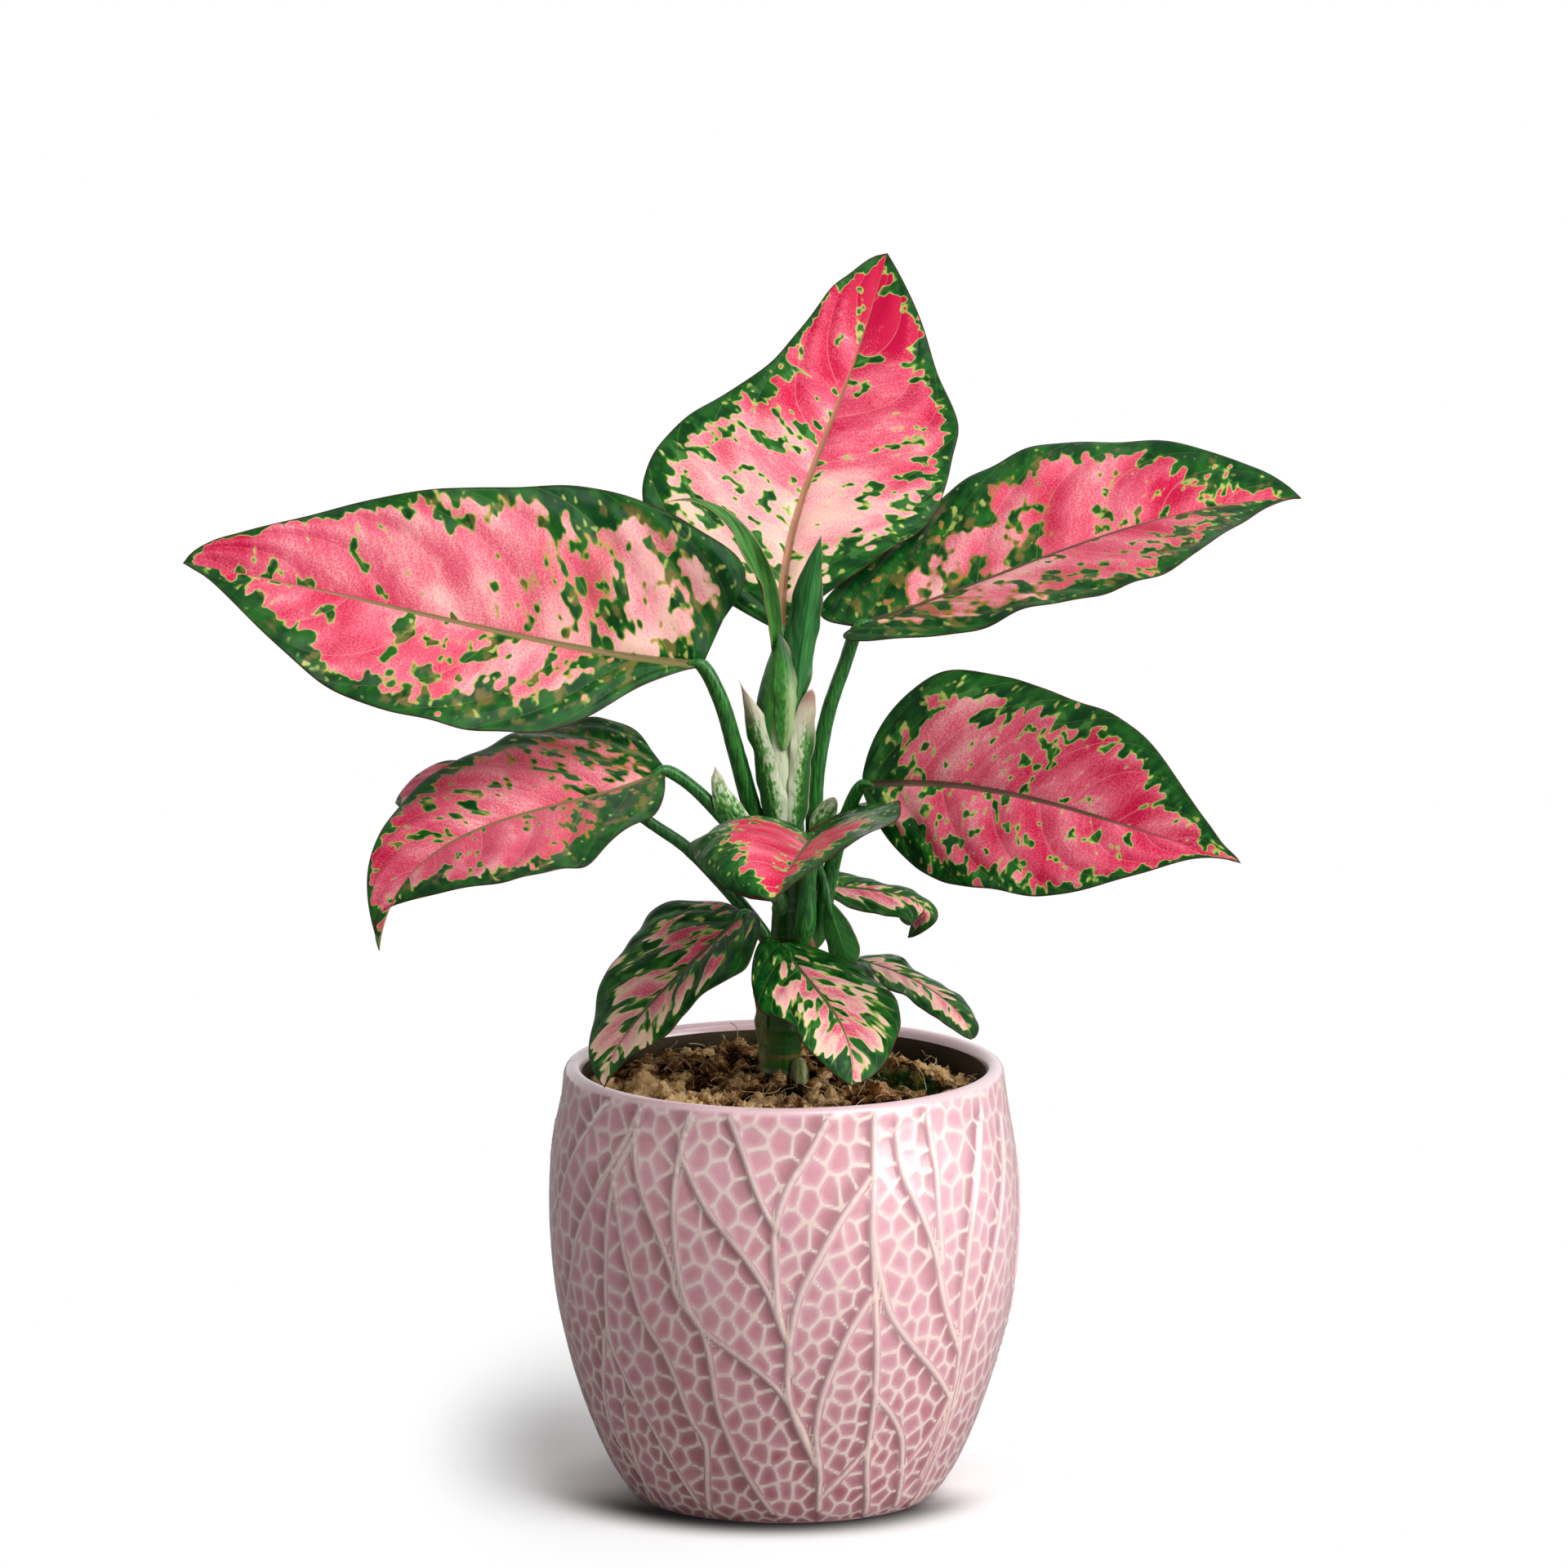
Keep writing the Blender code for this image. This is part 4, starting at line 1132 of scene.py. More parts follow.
# The raised lines on the wall, each as places (turn in degrees, height in mm).
RIBS = (
    ((-130, 127), (-131, 119), (-130, 111), (-127, 102), (-122, 91), (-118, 80)),
    ((-115, 127), (-117, 116), (-118, 102), (-117, 86), (-115, 73), (-111, 64), (-103, 57),
     (-92, 46), (-85, 33), (-81, 21)),
    ((-114, 126), (-117, 117), (-114, 110), (-109, 100), (-100, 87), (-94, 76), (-91, 66),
     (-89, 60)),
    ((-104, 127), (-100, 116), (-96, 104), (-92, 95)),
    ((-79, 126), (-84, 116), (-89, 107), (-92, 95), (-92, 82), (-91, 69), (-89, 60), (-88, 51)),
    ((-68, 109), (-75, 99), (-81, 87), (-86, 75), (-88, 64), (-89, 51), (-88, 39), (-84, 28),
     (-80, 20)),
    ((-68, 73), (-73, 64), (-77, 53), (-80, 42), (-81, 30), (-79, 18), (-78, 5)),
    ((-66, 126), (-67, 110), (-68, 92), (-67, 74), (-66, 58), (-65, 42), (-65, 32), (-64, 18),
     (-59, 2)),
    ((-68, 94), (-66, 80), (-63, 68), (-56, 57), (-47, 47), (-38, 37)),
    ((-60, 121), (-59, 109), (-54, 96), (-50, 84), (-47, 70), (-43, 60), (-38, 51)),
    ((-50, 124), (-49, 110), (-49, 96), (-48, 81)),
    ((-29, 119), (-33, 106), (-37, 92), (-39, 80), (-40, 64), (-38, 51), (-37, 37), (-38, 25),
     (-40, 12)),
    ((-17, 113), (-21, 98), (-27, 79), (-32, 62), (-34, 46), (-35, 29), (-36, 15), (-36, 2)),
    ((-65, 42), (-59, 35), (-54, 27), (-51, 18), (-46, 3)),
    ((-64, 26), (-70, 18), (-78, 9)),
    ((-130, 127), (-135, 115), (-143, 100), (-151, 85), (-157, 69), (-165, 54)),
    ((-143, 126), (-152, 114), (-159, 101), (-163, 88)),
    ((-130, 120), (-136, 107), (-138, 95), (-139, 80), (-140, 64), (-140, 55)),
    ((-137, 107), (-135, 98), (-133, 87), (-130, 74), (-127, 64), (-122, 55), (-119, 45),
     (-116, 33), (-113, 25), (-117, 4)),
    ((-139, 80), (-140, 64), (-140, 55), (-136, 43), (-131, 31), (-126, 18), (-121, 6)),
    ((-118, 80), (-117, 73), (-111, 64), (-109, 53), (-108, 39), (-105, 27), (-101, 16),
     (-94, 4)),
    ((-142, 58), (-145, 47), (-149, 35), (-150, 24), (-145, 14), (-141, 3)),
    ((-165, 54), (-163, 43), (-160, 32), (-160, 20), (-158, 10), (-164, 0)),
    ((-163, 88), (-167, 73), (-167, 63), (-165, 54)),
    ((-38, 37), (-41, 28), (-49, 17), (-51, 16)),
    ((-140, 34), (-142, 22), (-143, 11), (-147, 2)),
)
RIBS_MIDDLE = -92  # degrees; the ribs of the back are those of the front, turned and spread
BACK_MIDDLE = 88
BACK_SPREAD = 1.22
LINE_TOP = 129.3  # mm, where the lines end at the lip
FAR = 30  # mm, beyond this a line no longer matters
SEED_TRIES = 30000
CELL_STRETCH = np.array((1, 1, 0.8))  # the cells are taller than wide
WALL_COLUMNS = 520
WALL_FROM = (44, 0.2)  # mm, the radius and height where the relief begins
OFF_WALL = 9.0  # mm, the distance to any line that a place off the wall is given
BARE_BELOW = 128  # mm, the height where the glaze ends inside
BARE_SPOT = (-64.6, 4, 128.6)  # mm, where the glaze is gone from the rim


def pot_outline():
    """Radius and height in mm, from the middle of the foot to the middle of the inside."""
    outside = smooth_line(POT_OUTLINE, 10)
    rim = smooth_line(POT_OUTLINE[-1:] + RIM_OUTLINE, 4)[1:]
    inside = [(r - WALL, z) for r, z in POT_OUTLINE[::-1] if FLOOR + 3 < z < 122]
    foot = [(0, 1.2), (20, 1.2), (38, 1.2), (40.5, 0.6), (41.5, 0), (43.5, 0)]
    floor = [(inside[-1][0] - 4, FLOOR), (20, FLOOR), (0, FLOOR)]
    return np.vstack([foot, outside, rim, inside, floor])


def on_wall(turn, height):
    """Places on the outside of the wall, with the turn in radians."""
    radius = np.interp(height, *zip(*[(z, r) for r, z in POT_OUTLINE]))
    return around(radius, turn, height)


def rib_segments():
    """The start of every short piece of a raised line and the way to its end, in mm."""
    starts, steps = [], []
    for middle, spread in ((RIBS_MIDDLE, 1), (BACK_MIDDLE, BACK_SPREAD)):
        for rib in RIBS:
            line = smooth_line([((turn - RIBS_MIDDLE) * spread + middle, z) for turn, z in rib], 4)
            places = on_wall(np.radians(line[:, 0]), line[:, 1])
            starts.append(places[:-1])
            steps.append(np.diff(places, axis=0))
    return np.vstack(starts), np.vstack(steps)


def rib_distances(points, segments):
    """mm from each point on the wall to the nearest raised line on its left, and on its right."""
    start, step = segments
    found = []
    for part in np.array_split(points, max(1, len(points) // 1500)):
        gap, away = segment_gaps(part, start, step)
        side = (np.cross(step[None], away) * (part * (1, 1, 0))[:, None]).sum(-1)
        found.append([np.where(chosen, gap, FAR).min(1) for chosen in (side > 0, side <= 0)])
    return np.concatenate(found, axis=1)


def cell_seeds(cell, segments):
    """Scattered middles for the cells of the net, clear of the raised lines and of each other."""
    random = np.random.default_rng(6)
    turn = random.uniform(0, math.tau, SEED_TRIES)
    height = random.uniform(-2, LINE_TOP + 3, SEED_TRIES)
    points = on_wall(turn, height)
    spacing = cell * (0.8 + 0.2 * height / LINE_TOP)
    clear = rib_distances(points, segments).min(0) > spacing * 0.36
    seeds = np.empty((0, 3))
    for point, room in zip(points[clear] * CELL_STRETCH, spacing[clear]):
        if not len(seeds) or ((seeds - point) ** 2).sum(1).min() > room**2:
            seeds = np.vstack([seeds, point])
    return seeds


def net_distance(points, seeds):
    """mm from each point to the border of its cell, and a number for each cell."""
    tree = kdtree.KDTree(len(seeds))
    for index, seed in enumerate(seeds):
        tree.insert(seed, index)
    tree.balance()
    found = []
    for point in points * CELL_STRETCH:
        (_, own, near), (_, _, far) = tree.find_n(point, 2)
        found.append(((far - near) / 2, own * 0.618 % 1))
    return np.transpose(found)


def beside(distance, rise, reach):
    """Nothing on a line, rising within this many mm of it and gone after reach mm."""
    return (1 - np.exp(-((distance / rise) ** 2))) * np.exp(-distance / reach)


def relief_tree():
    """Raises the wall along its leaf outlines and its net.

    Each leaf lies over the one on its left.
    """
    graph, (wall, rib, net, line, material, bare) = new_tree(
        "Relief", Rib="Float", Net="Float", Line="Float", Material="Material", Bare="Material")
    away = abs(named(graph, "rib")) / line
    near = named(graph, "net") / line
    on_rib = (away * away * -0.7).math("EXPONENT")
    on_net = (near * near * -1.3).math("EXPONENT") * graph.step(away, 0.8, 1.6)
    height = (on_rib + named(graph, "overlap")) * rib + on_net.math("MAXIMUM", on_rib) * net - net
    moved = pushed(graph, wall, height * (1 - named(graph, "plain")))
    inside = named(graph, "inside").math("GREATER_THAN", 0.5)
    return end_tree(graph, moved, material, (bare, inside))


def pot_material(colours, line):
    """Glaze that pools pink in the cells and breaks pale over the lines."""
    graph = Paint("pot", specular_ior_level=0.55, coat_weight=0.7, coat_roughness=0.22)
    place = graph.object_place()
    x, _, z = graph.split(place)
    rib = (abs(graph.number("rib")) + graph.fall(graph.number("near_rib"), 0.1, 0.3) * 9) / line
    net = graph.number("net") / line + graph.fall(rib, 0.8, 1.5) * 9
    nearest = net.math("MINIMUM", rib * 0.7) + (graph.noise(place, 0.9) * 0.2 - 0.1)
    cloud = graph.noise(place, 0.12, 3, 0.6)
    # painted shade: high grows from the foot to the top, so the glaze lower down is painted deeper,
    # as if less lit
    high = graph.step(z + cloud * 30, 20, 110)
    speck = graph.noise(place, 1.3, 3, 0.7)
    bared = graph.fall(graph.distance(place, *BARE_SPOT) + speck * 3, 3.2, 4.8)
    blend = graph.coats(
        # painted shade: this deep rose shows towards the foot, where high lays little of the glaze
        # colour over it
        (0.42, 0.10, 0.12),
        (high, colours.glaze),
        # painted highlight: the right side, towards the lamps, is painted paler with the lip colour
        (graph.step(x, -5, 70) * high * 0.55, colours.lip),
        (graph.number("shade") * 0.42, (0.82, 0.43, 0.50)),
        (graph.step(cloud, 0.35, 0.65) * 0.25, (0.50, 0.22, 0.25)),
        # the pale halo beside the lines also grows with height, as part of the same painted shade
        (graph.fall(nearest, 0.3, 2.2) * (high * 0.25 + 0.35), colours.lip),
        # painted shade: darker beside each outline, on the side where the wall tucks under the next
        # leaf
        (graph.step(graph.number("overlap"), -0.1, -0.9) * 0.6, (0.34, 0.12, 0.13)),
        (graph.fall(nearest, 0.2, 0.8) * 0.85, colours.ridge),
        (graph.step(speck, 0.6, 0.75) * 0.25, colours.lip),
        (graph.number("plain"), colours.lip),
        (bared * 0.85, (0.15, 0.13, 0.14)),
    )
    return graph.dress(
        base_color=blend,
        roughness=graph.noise(place, 0.7) * 0.1 + 0.24,
        normal=graph.bump(graph.noise(place, 0.35), 0.15, 0.0006),
    )


def bare_material(colours):
    """The wall inside, unglazed and stained by the soil."""
    graph = Paint("bare_wall", roughness=0.85, specular_ior_level=0.15)
    blotches = graph.noise(graph.object_place(), 0.5, 4, 0.7)
    blend = graph.mix(blotches, colours.inside, (0.075, 0.055, 0.03))
    return graph.dress(base_color=blend, normal=graph.bump(blotches, 0.3, 0.0004))


def make_pot(settings):
    outline = pot_outline()
    radius, height = outline[:, :1], outline[:, 1:]
    flat = around(radius, full_turn(WALL_COLUMNS), height).reshape(-1, 3)
    rows = np.arange(len(outline))
    top = int(np.argmax(height))

    def each(row_values):
        return np.repeat(row_values, WALL_COLUMNS)

    wall = each((rows <= top) & (height[:, 0] > WALL_FROM[1]) & (radius[:, 0] > WALL_FROM[0]))
    segments = rib_segments()
    over, under = rib_distances(flat[wall], segments)
    rib, net = np.full((2, len(flat)), OFF_WALL)
    overlap, shade = np.zeros((2, len(flat)))
    rib[wall] = np.where(over < under, over, -under)
    overlap[wall] = beside(over, 1.2, 5) * 0.9 - beside(under, 1.2, 5) * 1.5
    net[wall], shade[wall] = net_distance(flat[wall], cell_seeds(settings.cell / MM, segments))
    values = {
        "rib": rib,
        "near_rib": np.exp(-((rib / 1.5) ** 2)),
        "overlap": overlap,
        "net": np.minimum(net, np.abs(flat[:, 2] - LINE_TOP)),
        "shade": shade,
        "plain": np.where(wall, each(smooth_step(height[:, 0], LINE_TOP - 2, LINE_TOP)), 1),
        "inside": each((rows > top) & (height[:, 0] < BARE_BELOW)),
    }
    faces = grid_faces(len(rows), WALL_COLUMNS, wrap=True)
    item = new_object("pot", mesh_from("pot", flat, faces, values))
    line = settings.line / MM
    set_inputs(modify(item, relief_tree()), rib=settings.rib, net=settings.net, line=line,
               material=pot_material(settings, line), bare=bare_material(settings))
    make_plain(item)
    settle(item, ["pot"])


# ---------------------------------------------------------------------------
# The soil


SOIL_ROWS, SOIL_COLUMNS = 60, 290
SCATTER_AREA = math.pi * 0.06**2  # square metres
CRUMBS = ((0.95, 0.27, 1.1, 1), (0.05, 1.2, 2.6, 2))  # share, sizes in mm, fineness


def soil_height(radius, turn):
    """mm, a low mound with lumps that end at the wall."""
    share = radius / SOIL_RADIUS
    lumps = np.sin(5 * turn + radius / 5) * np.cos(3 * turn - radius / 7) * share * (1 - share)
    return SOIL_EDGE + SOIL_MOUND * (1 - share**2) + SOIL_LUMPS * lumps


def soil_tree():
    """Lumps on the surface, with crumbs and fine roots scattered over it."""
    graph, (ground, lump, crumbs, fibres, seed, material) = new_tree(
        "Soil", Lump="Float", Crumbs="Int", Fibres="Int", Seed="Int", Material="Material")
    place = graph.add("GeometryNodeInputPosition")
    big = graph.noise(place, 70, 3, 0.55) - 0.5
    lumps = abs(graph.noise(place, 120, 3, 0.6) - 0.5)
    ground = stored(graph, ground, "rise", big * 1.8 + lumps * 3.4 + 0.25)
    ground = stored(graph, ground, "lumps", lumps)
    lift = graph.join(0, 0, named(graph, "rise") * lump * named(graph, "open"))
    ground = shaped(graph, "SetPosition", ground, offset=lift)
    joined = graph.node("GeometryNodeJoinGeometry")
    parts = [ground]
    for index, (share, *sizes) in enumerate(CRUMBS):
        parts.append(crumb_scatter(graph, ground, crumbs * share, sizes, seed + index))
    for part in (*parts, fibre_scatter(graph, ground, fibres, seed + 5)):
        graph.tree.links.new(part.socket, joined.inputs[0])
    return end_tree(graph, Wire(graph, joined.outputs[0]), material)


def random_value(graph, low, high, seed):
    """A random float or vector for each point."""
    vector = isinstance(low, tuple)
    settings = {"data_type": "FLOAT_VECTOR" if vector else "FLOAT"}
    first = 0 if vector else 2
    values = {first: low, first + 1: high, "Seed": seed}
    return graph.add("FunctionNodeRandomValue", settings, values, 0 if vector else 1)


def scatter(graph, ground, count, seed, piece, turn, size):
    """About this many copies of the piece on the open surface."""
    points = graph.add("GeometryNodeDistributePointsOnFaces", None, {
        "Mesh": ground, "Selection": named(graph, "open").math("GREATER_THAN", 0.9),
        "Density": count / SCATTER_AREA, "Seed": seed})
    return graph.add("GeometryNodeInstanceOnPoints", None, {
        "Points": points, "Instance": piece, "Rotation": turn, "Scale": size})


def crumb_scatter(graph, ground, count, sizes, seed):
    """Rough little lumps of soil, each with a random number for its colour."""
    low, high, faces = sizes
    ball = graph.add("GeometryNodeMeshIcoSphere", None, {"Radius": MM, "Subdivisions": faces})
    place = graph.add("GeometryNodeInputPosition")
    ball = pushed(graph, ball, graph.noise(place, 900, 2, 0.6) * 0.0024 - 0.0012)
    size = random_value(graph, 0.0, 1.0, seed + 11) ** 2.2 * (high - low) + low
    stretch = random_value(graph, (0.7, 0.7, 0.45), (1.3, 1.2, 0.95), seed + 12)
    turn = random_value(graph, (0.0, 0.0, 0.0), (6.28, 6.28, 6.28), seed + 13)
    crumbs = scatter(graph, ground, count, seed, ball, turn, graph.scaled(stretch, size))
    return stored(graph, crumbs, "tint", random_value(graph, 0.0, 1.0, seed + 14), "INSTANCE")


def fibre_scatter(graph, ground, count, seed):
    """Fine bent roots. A tint of 2 marks them."""
    bow = graph.add("GeometryNodeCurvePrimitiveBezierSegment", None, {
        "Resolution": 8, "Start": (-0.006, 0, 0.0002), "Start Handle": (-0.002, 0.004, 0.0016),
        "End Handle": (0.002, -0.003, 0.0012), "End": (0.006, 0.001, 0.0003)})
    strand = graph.add("GeometryNodeCurveToMesh", None, {
        "Curve": bow, "Profile Curve": ring_curve(graph, 3, 0.00016)})
    turn = random_value(graph, (-0.9, -0.9, 0.0), (0.9, 0.9, 6.28), seed + 1)
    size = random_value(graph, 0.3, 1.2, seed + 2)
    strands = scatter(graph, ground, count, seed, strand, turn, size)
    return stored(graph, strands, "tint", 2.0, "INSTANCE")


# Where dry pale crumbs lie, in mm: x, y and radius
STRAW_SPOTS = (
    (-42, -8, 18), (-26, -24, 16), (-6, -30, 12), (12, -28, 11), (49, 18, 13), (-26, 42, 9),
)
MOSS_SPOT = (32, -4, 15)


def spot(graph, place, x, y, size):
    """1 in the middle of a round spot and 0 outside it."""
    dx, dy, _ = graph.split(place)
    away = ((dx - x) ** 2 + (dy - y) ** 2).math("SQRT") / size
    return graph.fall(away, 0.4, 1.1)


def soil_material(colours):
    """Damp dark soil with browns, straw-coloured crumbs and a little moss."""
    graph = Paint("soil", specular_ior_level=0.05, roughness=0.9)
    place = graph.object_place()
    tint = graph.number("tint")
    cloud = graph.noise(place, 0.14, 3, 0.6)
    grain = graph.noise(place, 1.5, 4, 0.75)
    straw, *others = [spot(graph, place, *here) for here in STRAW_SPOTS]
    for other in others:
        straw = straw.math("MAXIMUM", other)
    lumps = graph.step(graph.number("lumps"), 0, 0.13)
    cells = graph.add("ShaderNodeTexVoronoi", None, {"Vector": place, "Scale": 0.13}, 1)
    clod = graph.split(cells)[0]
    # painted shade and light: lumps is high on the raised lump tops, so the soil is paler there and
    # darker in the hollows, partly as dry crust and partly as how the light falls
    light = tint * 0.3 + clod * 0.6 + straw * 1.1 + cloud * 0.5 + grain * 2.2 + lumps * 1.1 - 0.8
    green = spot(graph, place, *MOSS_SPOT) * graph.step(grain + tint * 0.2, 0.42, 0.6)
    blend = graph.coats(
        colours.damp_and_shade,
        (graph.step(light, 1.3, 1.9), colours.peat),
        (graph.step(light, 1.9, 2.6), colours.straw),
        (green * 0.75, colours.moss),
        (graph.step(tint, 1.4, 1.8), (0.80, 0.60, 0.34)),
    )
    return graph.dress(base_color=blend, normal=graph.bump(grain, 0.8, 0.001))


def make_soil(settings):
    edge = SOIL_RADIUS - 0.1
    turn = full_turn(SOIL_COLUMNS)
    radius = np.linspace(0, edge, SOIL_ROWS)[:, None]
    below = np.array([(edge - 1.5, 100), (48, 25), (42, FLOOR + 0.6), (0, FLOOR + 0.6)])
    points = np.concatenate([
        around(radius, turn, soil_height(radius, turn)), around(below[:, :1], turn, below[:, 1:]),
    ])
    shown = np.append(smooth_step(edge - radius[:, 0], 0, 1.5), [0] * len(below))
    shown_each = np.repeat(shown, SOIL_COLUMNS)
    values = {"open": shown_each, "tint": 0 * shown_each + 0.3}
    faces = grid_faces(len(shown), SOIL_COLUMNS, wrap=True)
    item = new_object("soil", mesh_from("soil", points.reshape(-1, 3), faces, values))
    set_inputs(modify(item, soil_tree()), lump=settings.lump, crumbs=settings.crumbs,
               fibres=settings.fibres, seed=3, material=soil_material(settings))
    make_plain(item)
    settle(item, ["soil"])


# ---------------------------------------------------------------------------
# The stage


CAMERA_RISE = 11.4  # degrees that it looks down by
CAMERA_AIM = 0.2148  # m, the height it looks at
FLOOR_CORNERS = ((-20, -20, 0), (20, -20, 0), (20, 20, 0), (-20, 20, 0))
BLACK, WHITE = (0, 0, 0), (1, 1, 1)


def floor_material():
    """Pale and matt, a little brighter to the eye so that it stays white beside the shadow."""
    graph = Paint("floor", roughness=1, specular_ior_level=0, emission_strength=1)
    eye = graph.add("ShaderNodeLightPath")
    place = graph.object_place()
    x, y, _ = graph.split(place)
    # painted light: the glow below washes out the real cast shadow away from the pot, and less of
    # it inside this ellipse on the pot's left
    left = (((x + 42) / 70) ** 2 + ((y - 60) / 190) ** 2).math("SQRT")
    lit = graph.step(left, 0.35, 1.05) * 0.85 + 0.15
    glow = lit * graph.step(graph.distance(place, 0, 0), 52, 80) * eye
    # painted contact shadow: the floor's own colour is darkened in front of the pot's foot
    foot = graph.fall(graph.distance(place, -3, 0), 46, 72) * graph.fall(y, -30, 10)
    seen = graph.mix(foot * 0.97, (0.98, 0.98, 0.98), (0.03, 0.03, 0.03))
    return graph.dress(
        base_color=graph.coats((0.35, 0.35, 0.35), (eye, seen), (glow, BLACK)),
        emission_color=graph.mix(glow, BLACK, WHITE),
    )


def set_world(fill):
    """White to the eye and in reflections, and dimmer as light."""
    world = bpy.data.worlds.new("world")
    world.use_nodes = True
    bpy.context.scene.world = world
    graph = Graph(world.node_tree)
    paths = graph.node("ShaderNodeLightPath").outputs
    seen = Wire(graph, paths["Is Camera Ray"])
    for name in ("Is Glossy Ray", "Is Transmission Ray"):
        seen = seen.math("MAXIMUM", Wire(graph, paths[name]))
    background = world.node_tree.nodes["Background"]
    graph.feed(background.inputs["Color"], WHITE)
    graph.feed(background.inputs["Strength"], seen * (1 - fill) + fill)


def set_camera(distance, lens):
    camera = new_object("camera", bpy.data.cameras.new("camera"))
    bpy.context.scene.camera = camera
    rise = math.radians(CAMERA_RISE)
    away = distance * Vector((0, -math.cos(rise), math.sin(rise)))
    camera.location = Vector((0, 0, CAMERA_AIM)) + away
    camera.rotation_euler = (math.pi / 2 - rise, 0, 0)
    camera.data.lens = lens
    camera.data.sensor_width = 36
    camera.data.clip_end = 100


def add_area(name, place, target, size, power):
    light = bpy.data.lights.new(name, "AREA")
    light.shape = "RECTANGLE"
    light.size, light.size_y = size
    light.energy = power
    item = new_object(name, light)
    item.location = place
    item.rotation_euler = (Vector(target) - Vector(place)).to_track_quat("-Z", "Y").to_euler()


# ---------------------------------------------------------------------------
# Operators


class AGLAONEMA_OT_pot(Operator):
    """Make the glazed pot with its raised leaf outlines and net"""

    bl_idname = "aglaonema.pot"
    bl_label = "Pot"
    bl_options = {"REGISTER", "UNDO"}

    def execute(self, context):
        make_pot(context.scene.aglaonema.pot)
        return {"FINISHED"}


class AGLAONEMA_OT_soil(Operator):
    """Make the soil with its crumbs and fine roots"""

    bl_idname = "aglaonema.soil"
    bl_label = "Soil"
    bl_options = {"REGISTER", "UNDO"}

    def execute(self, context):
        make_soil(context.scene.aglaonema.soil)
        return {"FINISHED"}


class AGLAONEMA_OT_cane(Operator):
    """Make the cane, its side shoot and the dry scar"""

    bl_idname = "aglaonema.cane"
    bl_label = "Cane"
    bl_options = {"REGISTER", "UNDO"}

    def execute(self, context):
        core = core_material(context.scene.aglaonema.stem)
        shoot = plain_material("shoot", (0.33, 0.33, 0.11), (0.08, 0.13, 0.02), 2, 0.35)
        scar = plain_material("scar", (0.22, 0.12, 0.05), (0.10, 0.05, 0.02), 1, 0.85)
        for name, line, material, groove, uneven, steps, slot in (
            ("cane", cane_line(), cane_material(), 0, 0.5, 1, "cane"),
            ("core_sheath", CORE, core, 0.05, 0.2, 8, "sheath"),
            ("side_shoot", SHOOT, shoot, 0, 0.2, 8, "cane"),
            ("dry_scar", SCAR, scar, 0.2, 0.8, 8, "dry"),
        ):
            settle(stem(name, line, material, groove, uneven, steps), [name])
        return {"FINISHED"}


class AGLAONEMA_OT_stalks(Operator):
    """Make the leaf stalks"""

    bl_idname = "aglaonema.stalks"
    bl_label = "Stalks"
    bl_options = {"REGISTER", "UNDO"}

    def execute(self, context):
        colours = context.scene.aglaonema.stem
        for seed, (name, leaf) in enumerate(LEAVES.items()):
            material = stalk_material(name + "_stalk", colours, seed * 7)
            item = stem(name + "_leaf_stalk", stalk_line(leaf), material)
            settle(item, [name + "_stalk"])
        return {"FINISHED"}


class AGLAONEMA_OT_leaves(Operator):
    """Make the variegated blades"""

    bl_idname = "aglaonema.leaves"
    bl_label = "Leaves"
    bl_options = {"REGISTER", "UNDO"}

    def execute(self, context):
        colours = context.scene.aglaonema.leaf
        for seed, (name, leaf) in enumerate(LEAVES.items()):
            wide = leaf.left.width + leaf.right.width
            grid = BIG_GRID if wide > BIG_BLADE else SMALL_GRID
            mesh = blade_mesh(name, leaf, colours, seed, grid)
            if name == "hanging":
                top = under = young_material(name, (0.05, 0.30, 0.05), (0.012, 0.14, 0.025), seed)
            else:
                look = (leaf.look, colours, seed, mesh["pitch"])
                top = blade_material(name, *look)
                under = under_material(name + "_under", *look)
            item = new_object(name + "_leaf", with_materials(mesh, top, under))
            settle(item, [name + "_blade"])
        return {"FINISHED"}


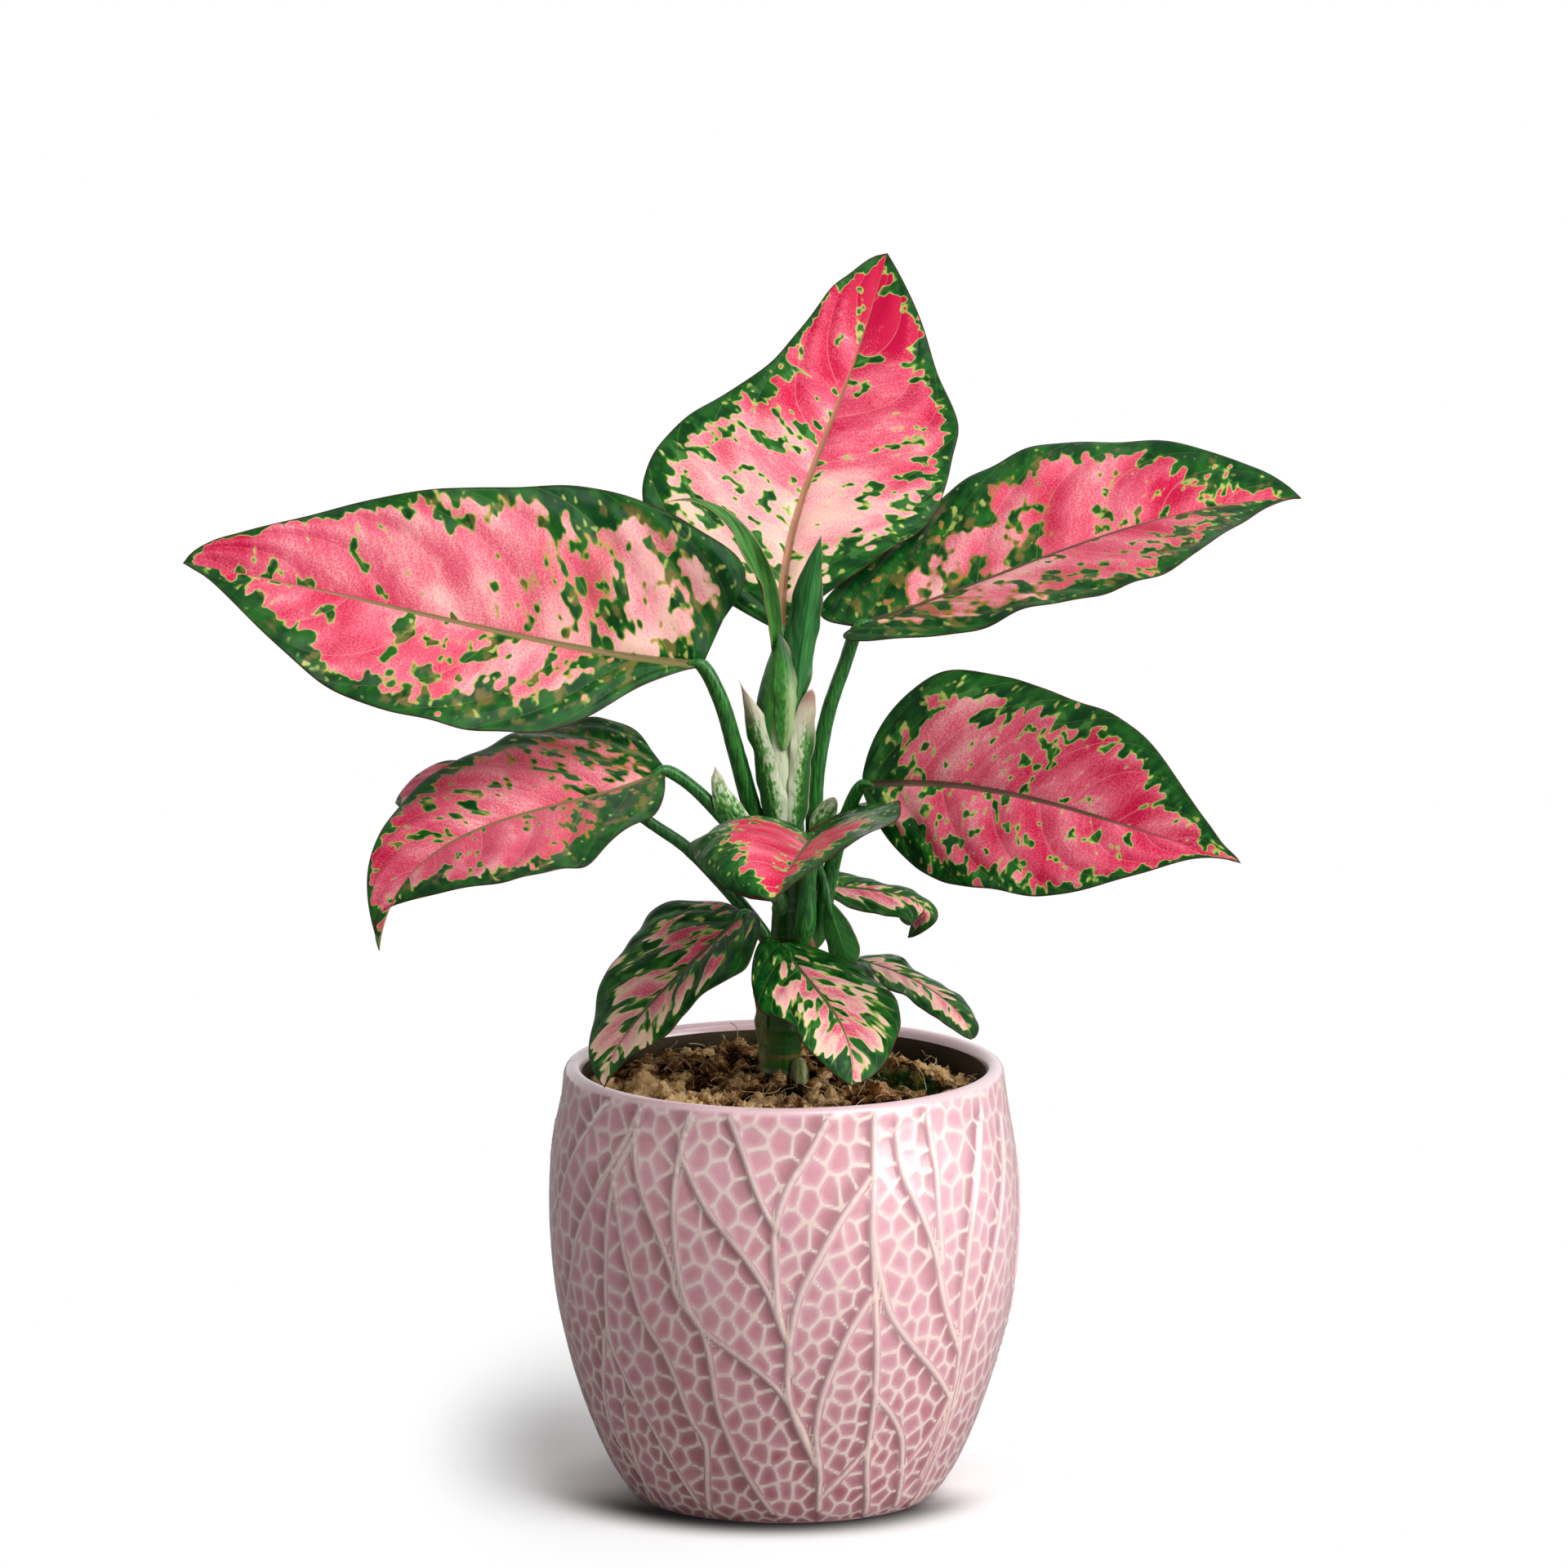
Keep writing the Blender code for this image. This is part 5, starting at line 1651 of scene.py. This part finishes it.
class AGLAONEMA_OT_young_growth(Operator):
    """Make the sheaths and the leaves that are still rolled"""

    bl_idname = "aglaonema.young_growth"
    bl_label = "Young growth"
    bl_options = {"REGISTER", "UNDO"}

    def execute(self, context):
        settings = context.scene.aglaonema
        greens = {"young_leaf": ((0.045, 0.21, 0.025), (0.012, 0.085, 0.01)),
                  "spear_leaf": ((0.015, 0.16, 0.03), (0.004, 0.07, 0.015))}
        materials = {
            "strip": plain_material("dry_strip", (0.34, 0.34, 0.13), (0.09, 0.13, 0.03), 1.2, 0.5),
            "hood": hood_material(),
        }
        for seed, (name, wrap) in enumerate({**WRAPS, **LOOSE_WRAPS}.items()):
            *shape, kind = wrap
            leaf = Leaf(*shape, None, Look(rib_width=1))
            mesh = blade_mesh(name, leaf, settings.leaf, seed + 40, WRAP_GRID, rounding=2.5)
            if kind == "young":
                material = young_material(name, *greens[name], seed)
            elif kind == "sheath":
                inner, dry = (0.2, 0.4) if "small" in name else (1, 1)
                inner *= 1 if "left" in name else -1
                material = sheath_material(name, settings.stem, seed, inner, dry)
            else:
                material = materials[kind]
            item = new_object(name + "_skin", with_materials(mesh, material, material))
            nodes, slot = ([name], kind) if name in WRAPS else ([], "sheath")
            settle(item, nodes)
        return {"FINISHED"}


class AGLAONEMA_OT_stage(Operator):
    """Set the floor, the lights, the background and the camera"""

    bl_idname = "aglaonema.stage"
    bl_label = "Stage"
    bl_options = {"REGISTER", "UNDO"}

    def execute(self, context):
        stage = context.scene.aglaonema.stage
        mesh = bpy.data.meshes.new("floor")
        mesh.from_pydata(FLOOR_CORNERS, [], [(0, 1, 2, 3)])
        floor = new_object("floor", with_materials(mesh, floor_material()))
        set_world(stage.fill)
        add_area("key", (1.0, -0.8, 1.5), (0, 0, 0.16), (1.2, 1.2), stage.key)
        add_area("side", (1.5, -0.6, 0.45), (0, 0, 0.12), (1.1, 0.55), stage.key * 0.55)
        set_camera(stage.distance, stage.lens)
        bpy.context.scene.view_settings.view_transform = "Standard"
        return {"FINISHED"}


OPERATORS = (
    AGLAONEMA_OT_pot, AGLAONEMA_OT_soil, AGLAONEMA_OT_cane, AGLAONEMA_OT_stalks,
    AGLAONEMA_OT_leaves, AGLAONEMA_OT_young_growth, AGLAONEMA_OT_stage,
)


class AGLAONEMA_PT_sidebar(Panel):
    bl_label = "Pink aglaonema"
    bl_space_type = "VIEW_3D"
    bl_region_type = "UI"
    bl_category = "Aglaonema"

    def draw(self, context):
        for operator in OPERATORS:
            self.layout.operator(operator.bl_idname)


CLASSES = (
    LeafSettings, StemSettings, PotSettings, SoilSettings, StageSettings, PlantSettings,
    *OPERATORS, AGLAONEMA_PT_sidebar,
)


def register():
    for item in CLASSES:
        bpy.utils.register_class(item)
    bpy.types.Scene.aglaonema = PointerProperty(type=PlantSettings)


def unregister():
    del bpy.types.Scene.aglaonema
    for item in reversed(CLASSES):
        bpy.utils.unregister_class(item)


def main():
    register()
    for operator in OPERATORS:
        getattr(bpy.ops.aglaonema, operator.bl_idname.split(".")[1])()


if __name__ == "__main__":
    main()
